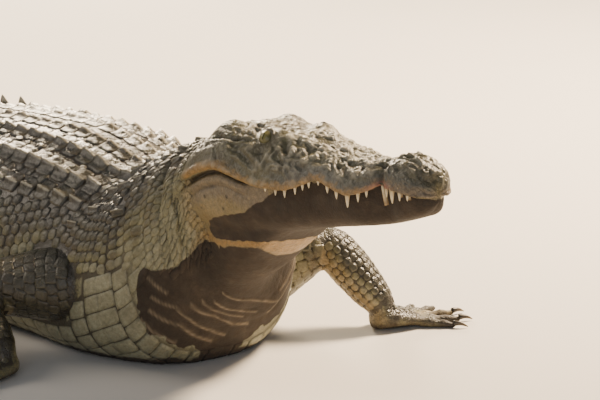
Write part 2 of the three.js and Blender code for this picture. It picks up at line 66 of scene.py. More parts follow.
# ---------------------------------------------------------------- measures


@dataclass(frozen=True)
class Profile:
    """Sizes along a line, read off on smooth curves through the rows of a table."""

    names: tuple[str, ...]
    rows: tuple[tuple[float, ...], ...]

    def read(self, name: str, place: Array | float) -> Array:
        """Reads one column of the table.

        Args:
            name: The column to read.
            place: Places along the line, in millimetres.

        Returns:
            The sizes at those places.
        """
        table = np.array(self.rows, float)
        at = table[:, 0]
        value = table[:, self.names.index(name)]
        slope = np.gradient(value)
        slope[1:-1] = (value[2:] - value[:-2]) / (at[2:] - at[:-2])
        slope[0] = (value[1] - value[0]) / (at[1] - at[0])
        slope[-1] = (value[-1] - value[-2]) / (at[-1] - at[-2])
        x = np.clip(place, at[0], at[-1])
        row = np.clip(np.searchsorted(at, x) - 1, 0, len(at) - 2)
        span = at[row + 1] - at[row]
        t = (x - at[row]) / span
        start = value[row] * (2 * t**3 - 3 * t**2 + 1) + value[row + 1] * (3 * t**2 - 2 * t**3)
        return start + span * (slope[row] * (t**3 - 2 * t**2 + t) + slope[row + 1] * (t**3 - t**2))


def smooth_step(low: float, high: float, value: Array | float) -> Array:
    """Rises softly from 0 at low to 1 at high.

    Args:
        low: Where the rise starts.
        high: Where it ends. It may be below low, and the rise then becomes a fall.
        value: What is measured.

    Returns:
        Shares from 0 to 1.
    """
    t = np.clip((np.asarray(value, float) - low) / (high - low), 0.0, 1.0)
    return t * t * (3.0 - 2.0 * t)


def bump(middle: float, width: float, value: Array | float) -> Array:
    """A bell curve of height 1 round a middle."""
    return np.exp(-(((np.asarray(value, float) - middle) / width) ** 2))


def mix(a: Array | float, b: Array | float, share: Array | float) -> Array:
    """Goes from a to b as share goes from 0 to 1."""
    return a + (b - a) * share


def unit(vectors: Array) -> Array:
    """Scales vectors, in the last axis, to a length of 1."""
    return vectors / np.maximum(np.linalg.norm(vectors, axis=-1, keepdims=True), 1e-9)


class Grain:
    """Repeatable lumps and cells in space, for shapes that no table gives."""

    @staticmethod
    def chance(cell: Array, seed: int) -> Array:
        """Gives each whole-number cell a number of its own.

        Args:
            cell: Whole numbers, with the three axes last.
            seed: Which of many sets of numbers.

        Returns:
            Numbers from 0 to 1.
        """
        c = cell.astype(np.int64)
        with np.errstate(over="ignore"):
            key = c[..., 0] * 374761393 + c[..., 1] * 668265263 + c[..., 2] * 2147483647 + seed * 9176
            key = (key ^ (key >> 13)) * 1274126177 & 0xFFFFFFFF
            key = (key ^ (key >> 15)) * 2246822519 & 0xFFFFFFFF
        return ((key ^ (key >> 16)) & 0xFFFFFF) / float(0x1000000)

    @classmethod
    def lumps(cls, points: Array, size: float, seed: int = 0, octaves: int = 1) -> Array:
        """Soft lumps of about one size, with finer ones on them.

        Args:
            points: Places, in millimetres.
            size: The distance from lump to lump, in millimetres.
            seed: Which of many patterns.
            octaves: How many finer layers are added, each half as large and high.

        Returns:
            Heights of about -1 to 1.
        """
        total = np.zeros(points.shape[:-1])
        weight = 1.0
        for octave in range(octaves):
            p = points / (size / 2**octave)
            base = np.floor(p)
            f = p - base
            f = f * f * (3 - 2 * f)
            value = np.zeros(points.shape[:-1])
            for corner in np.ndindex(2, 2, 2):
                step = np.array(corner)
                share = np.prod(np.where(step == 1, f, 1 - f), axis=-1)
                value += share * cls.chance(base + step, seed + 31 * octave)
            total += weight * (2 * value - 1)
            weight *= 0.5
        return total

    @classmethod
    def cells(cls, points: Array, size: Array, seed: int = 0) -> tuple[Array, Array]:
        """Packs space with rounded cells, as scales or pebbles pack a hide.

        Args:
            points: Places, in millimetres.
            size: The cells' pitch along each axis.
            seed: Which of many patterns.

        Returns:
            How deep inside its cell each place is, 0 on the seams, and the cell's own number.
        """
        p = points / size
        base = np.floor(p)
        near = np.full(points.shape[:-1], 9.0)
        second = near.copy()
        owner = near.copy()
        for corner in np.ndindex(3, 3, 3):
            cell = base + np.array(corner) - 1
            jitter = [cls.chance(cell, seed + axis) for axis in range(3)]
            heart = cell + 0.5 + 0.8 * (np.stack(jitter, -1) - 0.5)
            distance = np.linalg.norm(p - heart, axis=-1)
            closer = distance < near
            second = np.where(closer, near, np.minimum(second, distance))
            owner = np.where(closer, cls.chance(cell, seed + 7), owner)
            near = np.minimum(near, distance)
        return second - near, owner


BODY = Profile(
    ("at", "lean", "back", "under", "half"),
    (
        (-2430, 0, 14, -2, 5),
        (-2340, 0, 40, -3, 13),
        (-2100, 0, 78, -6, 30),
        (-1800, 0, 116, -9, 50),
        (-1500, 0, 152, -12, 74),
        (-1180, 0, 190, -15, 100),
        (-900, 0, 226, -18, 128),
        (-700, 0, 260, -20, 160),
        (-600, 0, 284, -22, 184),
        (-500, 0, 308, -24, 216),
        (-380, 0, 332, -28, 252),
        (-230, 0, 354, -30, 294),
        (-50, 0, 372, -34, 312),
        (150, 0, 382, -34, 306),
        (300, 0, 372, -34, 280),
        (385, 0, 362, -34, 264),
        (455, 0, 374, -30, 250),
        (522, 45, 408, -16, 226),
        (578, 67, 430, 8, 198),
        (629, 78, 444, 85, 172),
        (671, 82, 456, 145, 152),
        (711, 87, 460, 195, 138),
        (755, 110, 452, 235, 120),
        (802, 135, 436, 284, 102),
        (847, 135, 420, 322, 84),
    ),
)
SKULL = Profile(
    ("at", "lip_half", "roof_half", "roof", "lip"),
    (
        (-74, 124, 62, 78, 4),
        (-37, 138, 74, 94, 12),
        (10, 138, 82, 107, 27),
        (58, 132, 80, 108, 34),
        (112, 121, 76, 98, 17),
        (150, 113, 72, 94, 4),
        (182, 107, 64, 92, 0),
        (225, 98, 54, 82, -2),
        (262, 90, 50, 70, 7),
        (303, 82, 46, 58, 17),
        (340, 79, 42, 50, 5),
        (377, 75, 38, 47, -6),
        (412, 60, 32, 48, 0),
        (438, 45, 30, 50, 8),
        (470, 50, 33, 52, 6),
        (502, 50, 32, 52, 1),
        (524, 43, 26, 46, -5),
        (536, 33, 17, 37, -6),
        (542, 23, 10, 29, -8),
        (545, 11, 4, 20, -9),
    ),
)
JAW = Profile(
    ("at", "half", "edge"),
    (
        (-74, 118, -88),
        (0, 130, -97),
        (90, 119, -97),
        (160, 98, -90),
        (235, 82, -81),
        (305, 67, -75),
        (377, 58, -69),
        (438, 34, -62),
        (470, 37, -56),
        (498, 36, -50),
        (515, 32, -46),
        (528, 25, -39),
        (538, 15, -31),
        (545, 5, -22),
    ),
)
THROAT = Profile(
    ("at", "low"),
    ((-60, -214), (-42, -201), (22, -171), (88, -132), (139, -102), (200, -84), (545, -20)),
)

VENT = -600
TAIL_TIP = -2430
CHEST_REAR = 150
TAIL_SWAY = 430
NECK_SWAY = 30
HEAD_PLACE = np.array((760.0, -NECK_SWAY, 400.0))
HEAD_TURN = Euler((math.radians(-2.5), math.radians(-9.5), math.radians(-1.5)), "XYZ")
HEAD_AXES = np.array(HEAD_TURN.to_matrix())  # columns are the head's own three axes
DOMES = (  # ahead, aside, half length, half breadth and height of the domes on the skull
    (146, 54, 34, 18, 14),
    (15, 68, 37, 22, 15),
    (478, 0, 30, 26, 8),
)


def from_head(points: Array) -> Array:
    """Takes points from the head's own frame to the model's."""
    return points @ HEAD_AXES.T + HEAD_PLACE


def to_head(points: Array) -> Array:
    """Takes points from the model's frame to the head's own."""
    return (points - HEAD_PLACE) @ HEAD_AXES


# ---------------------------------------------------------------- making pieces


def make_piece(
    name: str,
    points: Array,
    faces: list[Array],
    uv: Array | None = None,
    marks: dict[str, Array] | None = None,
) -> bpy.types.Object:
    """Makes a mesh object.

    Args:
        name: The object's name.
        points: Its corners, in millimetres.
        faces: Groups of faces, each an array of rows of corner numbers.
        uv: A place on the bake map for each corner of each face.
        marks: Named values for each point, read by the finishes.

    Returns:
        The object, linked to the scene.
    """
    mesh = bpy.data.meshes.new(name)
    corners = np.concatenate([group.ravel() for group in faces]).astype(np.int32)
    sizes = np.concatenate([np.full(len(group), group.shape[1]) for group in faces])
    mesh.vertices.add(len(points))
    mesh.vertices.foreach_set("co", (points * MM).astype(np.float32).ravel())
    mesh.loops.add(len(corners))
    mesh.loops.foreach_set("vertex_index", corners)
    mesh.polygons.add(len(sizes))
    mesh.polygons.foreach_set("loop_start", (np.cumsum(sizes) - sizes).astype(np.int32))
    mesh.update(calc_edges=True)
    mesh.shade_smooth()
    if uv is not None:
        layer = mesh.uv_layers.new(name=UV_MAP)
        layer.data.foreach_set("uv", uv.astype(np.float32).ravel())
    for mark, values in (marks or {}).items():
        store = mesh.attributes.new(mark, "FLOAT", "POINT")
        store.data.foreach_set("value", np.asarray(values, np.float32).ravel())
    made = bpy.data.objects.new(name, mesh)
    bpy.context.scene.collection.objects.link(made)
    return made


def read_points(mesh: bpy.types.Mesh) -> Array:
    """Reads a mesh's points, in millimetres.

    Args:
        mesh: The mesh.

    Returns:
        One row for each point.
    """
    flat = np.empty(len(mesh.vertices) * 3, np.float32)
    mesh.vertices.foreach_get("co", flat)
    return flat.reshape(-1, 3).astype(float) / MM


def write_points(mesh: bpy.types.Mesh, points: Array) -> None:
    """Moves a mesh's points to new places, in millimetres."""
    mesh.vertices.foreach_set("co", (points * MM).astype(np.float32).ravel())
    mesh.update()


def apply_modifiers(piece: bpy.types.Object) -> None:
    """Replaces a piece's mesh by what its modifiers make of it.

    Args:
        piece: The piece, which keeps its name.
    """
    graph = bpy.context.evaluated_depsgraph_get()
    mesh = bpy.data.meshes.new_from_object(piece.evaluated_get(graph), depsgraph=graph)
    old = piece.data
    piece.modifiers.clear()
    piece.data = mesh
    bpy.data.meshes.remove(old)


def bvh(points: Array, faces: list[Array]) -> BVHTree:
    """Prepares a surface for finding the nearest place on it."""
    polygons = [row for group in faces for row in group.tolist()]
    return BVHTree.FromPolygons(points.tolist(), polygons)


def close_rings(rows: int, count: int, backward: bool = False) -> list[Array]:
    """Joins rings of points into a tube, closed by the two points that follow them.

    Args:
        rows: How many rings there are.
        count: Points round each ring.
        backward: Whether they run the other way round.

    Returns:
        The quads between the rings, and the triangles that close the first ring and the last.
    """
    r, k = np.meshgrid(np.arange(rows - 1), np.arange(count), indexing="ij")
    n = (k + 1) % count
    quads = np.stack([r * count + k, r * count + n, (r + 1) * count + n, (r + 1) * count + k], -1)
    ring, last = np.arange(count), (rows - 1) * count
    after = (ring + 1) % count
    first = np.stack([np.full(count, rows * count), after, ring], -1)
    final = np.stack([np.full(count, rows * count + 1), last + ring, last + after], -1)
    faces = [quads.reshape(-1, 4), first, final]
    return [np.roll(group[:, ::-1], 1, axis=1) for group in faces] if backward else faces


def place_key(steps: Array) -> Array:
    """One whole number for each place that is given in whole steps."""
    whole = steps.astype(np.int64) + KEY_SPAN // 2
    return (whole[:, 0] * KEY_SPAN + whole[:, 1]) * KEY_SPAN + whole[:, 2]


# ---------------------------------------------------------------- the hide


CURVE_POINTS = 121  # points of a section's curve before they are spaced evenly


class Spread:
    """How many columns of the hide lie over each part of a half ring of the head."""

    ROOF = 78
    LIP = 10
    JAW = 46
    THROAT = 50
    HALF = ROOF + LIP + JAW + THROAT
    ROUND = 2 * HALF


def even_points(curves: Array, count: int) -> Array:
    """Spaces points evenly along curves.

    Args:
        curves: One finely drawn curve per row, with the axes last.
        count: How many steps each is divided into.

    Returns:
        The same curves as count + 1 points each.
    """
    step = np.linalg.norm(np.diff(curves, axis=1), axis=-1)
    length = np.concatenate([np.zeros((len(curves), 1)), np.cumsum(step + 1e-9, axis=1)], axis=1)
    made = np.empty((len(curves), count + 1, curves.shape[2]))
    for row, (run, curve) in enumerate(zip(length, curves)):
        wanted = np.linspace(0, run[-1], count + 1)
        for axis in range(curves.shape[2]):
            made[row, :, axis] = np.interp(wanted, run, curve[:, axis])
    return made


def both_sides(left: Array, centre: Array, across: Array) -> Array:
    """Closes half rings, from the back down to the underside, into whole ones.

    Args:
        left: Half rings on the left, one per row.
        centre: A point in each ring's middle plane.
        across: The direction to the left at each ring.

    Returns:
        Whole rings, from the back down the left side and up the right one.
    """
    offset = np.einsum("rcx,rx->rc", left - centre[:, None], across)
    right = left - 2 * offset[..., None] * across[:, None]
    return np.concatenate([left, right[:, -2:0:-1]], axis=1)


def sway(at: Array) -> Array:
    """How far the spine lies to the left at places along the body.

    Args:
        at: Places along the body, in millimetres.

    Returns:
        The distances, in millimetres, negative to the right.
    """

    def swing(t: Array) -> Array:
        """Eases from 0 to 1."""
        return (1 - np.cos(math.pi * np.clip(t, 0, 1))) / 2

    tail = swing((VENT - at) / (VENT - TAIL_TIP))
    neck = swing((at - CHEST_REAR) / (HEAD_PLACE[0] - CHEST_REAR))
    return -TAIL_SWAY * tail - NECK_SWAY * neck


def line_distance(points: Array, path: tuple[tuple[float, ...], ...] | Array) -> Array:
    """Says how far points are from a line with corners.

    Args:
        points: The points.
        path: The line's corners.

    Returns:
        One distance for each point.
    """
    near = np.full(points.shape[:-1], np.inf)
    corners = np.array(path, float)
    for a, b in zip(corners[:-1], corners[1:]):
        run = b - a
        t = np.clip((points - a) @ run / (run @ run), 0, 1)
        near = np.minimum(near, np.linalg.norm(points - a - t[..., None] * run, axis=-1))
    return near


def body_frames(at: Array) -> dict[str, Array]:
    """Finds the frame and sizes of the body's cross-sections.

    Args:
        at: Places along the body.

    Returns:
        The centre, the directions left and up, and the rise, drop and half width of each.
    """
    slope = (sway(at + 1) - sway(at - 1)) / 2
    tangent = unit(np.stack([np.ones_like(at), slope, np.zeros_like(at)], -1))
    across = np.stack([-tangent[:, 1], tangent[:, 0], np.zeros_like(at)], -1)
    lean = BODY.read("lean", at)[:, None] / 2
    middle = np.stack([at, sway(at), np.zeros_like(at)], -1)
    back = middle - tangent * lean
    under = middle + tangent * lean
    back[:, 2] = BODY.read("back", at)
    under[:, 2] = BODY.read("under", at)
    waist = mix(0.35, 0.5, smooth_step(455, 640, at))[:, None]
    centre = mix(under, back, waist)
    return {
        "centre": centre,
        "left": across,
        "up": unit(back - under),
        "rise": np.linalg.norm(back - centre, axis=1),
        "drop": np.linalg.norm(under - centre, axis=1),
        "half": BODY.read("half", at),
    }


@dataclass
class HideForm:
    """The bare form of trunk, tail, neck and head: one grid of rings from tail to snout."""

    tail_step: float = 11.0
    trunk_step: float = 5.5
    neck_step: float = 2.8
    head_step: float = 2.2
    neck_front: float = 640.0  # the last ring that belongs to the body alone
    head_rear: float = -37.0  # the first ring that belongs to the head alone
    bridge: int = 34  # rings between those two
    back_inset: float = 7.0  # how far the hide lies under the tops of the scales
    head_inset: float = 0.6
    station: Array = field(init=False)
    head_at: Array = field(init=False)
    points: Array = field(init=False)
    normals: Array = field(init=False)
    girth: Array = field(init=False)
    relief: Array = field(init=False)  # how high folds and lumps stand, in millimetres

    def __post_init__(self) -> None:
        """Lays out the rings."""
        tail = np.arange(TAIL_TIP, VENT, self.tail_step)
        trunk = np.arange(VENT, 546, self.trunk_step)
        chest = np.arange(trunk[-1] + self.neck_step, self.neck_front + 0.1, self.neck_step)
        body_at = np.concatenate([tail, trunk, chest])
        head_at = self.head_places()
        body = self.body_rings(body_at)
        head = from_head(self.head_rings(head_at))
        neck = self.bridge_rings(body, body_at, head, head_at)
        rear, front = body_at[-1], self.neck_front + 110
        between = np.linspace(rear, front, self.bridge + 2)[1:-1]
        self.points = np.concatenate([body, neck, head])
        self.station = np.concatenate([body_at, between, front + head_at - head_at[0]])
        self.head_at = self.station - front + head_at[0]
        self.relief = np.zeros(self.points.shape[:2])
        self.refresh()

    def head_places(self) -> Array:
        """Places the rings of the head, closer together towards the tip of the snout.

        Returns:
            The places, in millimetres ahead of the head's own origin.
        """
        main = np.arange(self.head_rear, 520, self.head_step)
        tip = main[-1] + (545 - main[-1]) * np.sin(np.linspace(0, math.pi / 2, 22)[1:])
        return np.concatenate([main, tip])

    def body_rings(self, at: Array) -> Array:
        """Draws the rings of trunk, tail and rear neck, pressed flat on the ground.

        Args:
            at: Places along the body.

        Returns:
            One whole ring of points for each place.
        """
        frame_at = body_frames(at)
        inset = self.back_inset * smooth_step(TAIL_TIP, TAIL_TIP + 500, at)
        inset = mix(inset, self.back_inset * 0.45, smooth_step(430, 640, at))
        angle = np.linspace(math.pi / 2, -math.pi / 2, 2 * CURVE_POINTS - 1)
        c, s = np.cos(angle), np.sin(angle)
        power = np.where(s > 0, 2 / 2.0, 2 / 2.7)
        side = np.abs(c) ** power
        lift = np.sign(s) * np.abs(s) ** power
        half = np.maximum(frame_at["half"] - inset, 1.5)
        rise = np.maximum(frame_at["rise"] - inset, 1.5)
        drop = np.maximum(frame_at["drop"] - inset * 0.4, 1.5)
        upward = np.where(lift > 0, rise[:, None], drop[:, None]) * lift
        curves = (
            frame_at["centre"][:, None]
            + (half[:, None] * side)[..., None] * frame_at["left"][:, None]
            + upward[..., None] * frame_at["up"][:, None]
        )
        curves[..., 2] = np.maximum(curves[..., 2], 0)
        left = even_points(curves, Spread.HALF)
        return both_sides(left, frame_at["centre"], frame_at["left"])

    @staticmethod
    def curve_shares(t: Array) -> tuple[Array, Array, Array, Array]:
        """What each of four control points adds to a smooth curve at shares of its length."""
        return (1 - t) ** 3, 3 * t * (1 - t) ** 2, 3 * t * t * (1 - t), t**3

    @staticmethod
    def section(at: Array, across: Array, height: Array) -> Array:
        """Puts the sections of the head at their places along it."""
        return np.stack([np.broadcast_to(at[:, None], across.shape), across, height], -1)

    def roof_curves(self, at: Array) -> Array:
        """Draws the left half of the skull's sections, from the middle of the roof to the lip.

        Args:
            at: Places along the head.

        Returns:
            One finely drawn curve for each place, as distances to the left and heights.
        """
        half = SKULL.read("lip_half", at)[:, None] - self.head_inset
        shoulder = SKULL.read("roof_half", at)[:, None]
        roof = SKULL.read("roof", at)[:, None] - self.head_inset
        lip = SKULL.read("lip", at)[:, None]
        t = np.linspace(1, 0, CURVE_POINTS)
        a, b, c, d = self.curve_shares(t)
        y = a * half + b * half * 1.02 + c * shoulder
        z = a * lip + b * mix(lip, roof, 0.6) + c * (roof + 2) + d * roof
        for ahead, aside, length, breadth, height in DOMES:
            away = ((at[:, None] - ahead) / length) ** 2 + ((y - aside) / breadth) ** 2
            z += height * np.exp(-(away**1.5)) * smooth_step(0.25, 0.6, t)
        return self.section(at, y, z)

    def jaw_curves(self, at: Array) -> Array:
        """Draws the left half of the lower jaw's sections, from its lip to the middle below.

        Args:
            at: Places along the head.

        Returns:
            One finely drawn curve for each place, as distances to the left and heights.
        """
        half = JAW.read("half", at)[:, None] - self.head_inset
        edge = JAW.read("edge", at)[:, None]
        lip = SKULL.read("lip", at)[:, None] - 2.5
        t = np.linspace(0, 1, CURVE_POINTS)
        a, b, c, d = self.curve_shares(t)
        y = a * half + b * half + c * half * 0.8
        z = a * lip + b * mix(lip, edge, 0.75) + c * edge + d * (edge + 4)
        return self.section(at, y, z)

    def head_rings(self, at: Array) -> Array:
        """Draws the rings of the head in its own frame, with the lips, the jaw and the throat.

        Args:
            at: Places along the head.

        Returns:
            One whole ring of points for each place.
        """
        roof = even_points(self.roof_curves(at), Spread.ROOF)
        jaw = self.jaw_curves(at)
        corner = 70  # the point of the jaw's section where its side turns under
        jaw_side = even_points(jaw[:, : corner + 1], Spread.JAW)
        jaw_under = even_points(jaw[:, corner:], Spread.THROAT)
        # The lip overhangs the jaw, with a groove between the two.
        lip, gum = roof[:, -1], jaw_side[:, 0]
        steps = np.linspace(0, 1, Spread.LIP + 1)[None, 1:-1]
        inward = mix(lip[:, 1:2], gum[:, 1:2], np.minimum(1.15 * steps, 1.08))
        overhang = lip[:, 1:2] - gum[:, 1:2]
        closing = smooth_step(-40, 30, at)[:, None]
        groove = closing * np.minimum(5.0, 1.5 + 0.3 * overhang) * np.sin(math.pi * steps**1.4)
        height = mix(lip[:, 2:3], gum[:, 2:3], steps) + groove
        step_curve = self.section(at, inward, height)
        # Under the rear of the jaw the throat bags down to meet the neck.
        turn = np.linspace(0, math.pi / 2, CURVE_POINTS)
        start = jaw[:, corner]
        low = THROAT.read("low", at)[:, None]
        wide = start[:, 1:2] * mix(0.99, 0.9, smooth_step(-30, 60, at)[:, None])
        y = wide * np.cos(turn) ** 0.9
        z = start[:, 2:3] + (low - start[:, 2:3]) * np.sin(turn) ** 0.9
        bag = np.concatenate([start[:, None], self.section(at, y, z)], axis=1)
        bag = even_points(bag, Spread.THROAT)
        hanging = 1 - smooth_step(115, 185, at)[:, None, None]
        throat = mix(jaw_under, bag, hanging)
        left = np.concatenate([roof, step_curve, jaw_side, throat[:, 1:]], axis=1)
        centre = np.zeros((len(at), 3))
        across = np.tile((0.0, 1.0, 0.0), (len(at), 1))
        return both_sides(left, centre, across)

    def bridge_rings(self, body: Array, body_at: Array, head: Array, head_at: Array) -> Array:
        """Carries each column smoothly from the last ring of the body to the first of the head.

        Args:
            body: The last rings of the body.
            body_at: Their places along the body.
            head: The first rings of the head.
            head_at: Their places along the body.

        Returns:
            The rings between them.
        """
        a, b = body[-1], head[0]
        gap = np.linalg.norm(b - a, axis=-1, keepdims=True)
        leave = unit(a - body[-3]) * gap
        arrive = unit(head[3] - b) * gap
        rings = []
        for t in np.linspace(0, 1, self.bridge + 2)[1:-1]:
            place = (2 * t**3 - 3 * t**2 + 1) * a + (3 * t**2 - 2 * t**3) * b
            place = place + (t**3 - 2 * t**2 + t) * leave + (t**3 - t**2) * arrive
            rings.append(place)
        return np.array(rings)

    def refresh(self) -> None:
        """Works out the normals and the girths again after the points have moved."""
        ahead = np.gradient(self.points, axis=0)
        around = np.roll(self.points, -1, axis=1) - np.roll(self.points, 1, axis=1)
        self.normals = unit(np.cross(ahead, around))
        step = np.linalg.norm(np.diff(self.points, axis=1, append=self.points[:, :1]), axis=-1)
        half = Spread.HALF
        left = np.concatenate([np.zeros((len(step), 1)), np.cumsum(step[:, :half], 1)], 1)
        right = np.concatenate([np.zeros((len(step), 1)), np.cumsum(step[:, :half - 1:-1], 1)], 1)
        self.girth = np.concatenate([left, right[:, half - 1 : 0 : -1]], 1)

    @staticmethod
    def column_share() -> Array:
        """How far down each column lies: 0 along the back, 1 along the middle of the underside."""
        column = np.arange(Spread.ROUND)
        return np.minimum(column, Spread.ROUND - column) / Spread.HALF

    @staticmethod
    def around() -> Array:
        """The way round of each column: 0 on the back, down the right side to 1, up the left to 2."""
        return 2 - np.arange(Spread.ROUND) / Spread.HALF

    def faces(self) -> list[Array]:
        """The faces of the grid, closed at the tip of the tail and of the snout.

        Returns:
            The quads of the grid and the triangles of its two ends.
        """
        return close_rings(*self.points.shape[:2], backward=True)

    def all_points(self) -> Array:
        """All points of the grid, with the two that close its ends."""
        ends = np.stack([self.points[0].mean(0), self.points[-1].mean(0)])
        return np.concatenate([self.points.reshape(-1, 3), ends])


# ---------------------------------------------------------------- legs


@dataclass(frozen=True)
class LimbSizes:
    """Half widths at the top, middle and end of both lengths of a leg, and its foot's sizes."""

    upper: tuple[float, float, float]
    lower: tuple[float, float, float]
    palm: float
    breadth: float
    depth: float
    knuckle: float
    claw: float
    digits: tuple[tuple[float, float], ...]  # how far each turns inward, in degrees, and its length


FORE_SIZES = LimbSizes(
    upper=(98, 72, 50),
    lower=(50, 49, 39),
    palm=88,
    breadth=44,
    depth=34,
    knuckle=14,
    claw=24,
    digits=((36, 76), (16, 98), (-2, 106), (-22, 96), (-44, 76)),
)
HIND_SIZES = LimbSizes(
    upper=(104, 88, 66),
    lower=(68, 60, 44),
    palm=150,
    breadth=52,
    depth=40,
    knuckle=17,
    claw=32,
    digits=((22, 96), (7, 124), (-9, 132), (-26, 112)),
)
CLAWED_DIGITS = 3


def tube(centres: Array, left: Array, up: Array, sizes: Array, count: int) -> Shape:
    """Closes a row of ellipses into a tube.

    Args:
        centres: The middles of the rings.
        left: The direction of each ring's first radius.
        up: The direction of each ring's second radius.
        sizes: The two radii of each ring.
        count: Points round each ring.

    Returns:
        The points and the faces, which turn outward.
    """
    angle = np.arange(count) * 2 * math.pi / count
    c, s = np.cos(angle)[None, :, None], np.sin(angle)[None, :, None]
    rings = centres[:, None] + c * (sizes[:, :1] * left)[:, None] + s * (sizes[:, 1:] * up)[:, None]
    points = np.concatenate([rings.reshape(-1, 3), rings[0].mean(0)[None], rings[-1].mean(0)[None]])
    return points, close_rings(len(centres), count)


def join_meshes(parts: list[Shape]) -> Shape:
    """Puts several meshes into one list of points and groups of faces.

    Args:
        parts: The meshes.

    Returns:
        The one mesh.
    """
    points, faces, count = [], [], 0
    for part_points, part_faces in parts:
        points.append(part_points)
        faces += [group + count for group in part_faces]
        count += len(part_points)
    return np.concatenate(points), faces


def relax(points: Array, edges: Array, weight: Array, rounds: int) -> Array:
    """Evens out a surface by moving points towards their neighbours.

    Args:
        points: The surface's points.
        edges: Pairs of neighbours.
        weight: How freely each point moves, from 0 to 1.
        rounds: How often it is done.

    Returns:
        The moved points.
    """
    a, b = edges[:, 0], edges[:, 1]
    count = np.bincount(a, minlength=len(points)) + np.bincount(b, minlength=len(points))
    count = np.maximum(count, 1)
    moved = points.copy()
    for _ in range(rounds):
        total = np.stack(
            [
                np.bincount(a, moved[b, axis], len(points)) + np.bincount(b, moved[a, axis], len(points))
                for axis in range(points.shape[1])
            ],
            -1,
        )
        moved += (total / count[:, None] - moved) * weight[:, None]
    return moved


def read_edges(mesh: bpy.types.Mesh) -> Array:
    """Reads a mesh's edges as pairs of point numbers.

    Args:
        mesh: The mesh.

    Returns:
        One row of two numbers for each edge.
    """
    flat = np.empty(len(mesh.edges) * 2, np.int32)
    mesh.edges.foreach_get("vertices", flat)
    return flat.reshape(-1, 2)


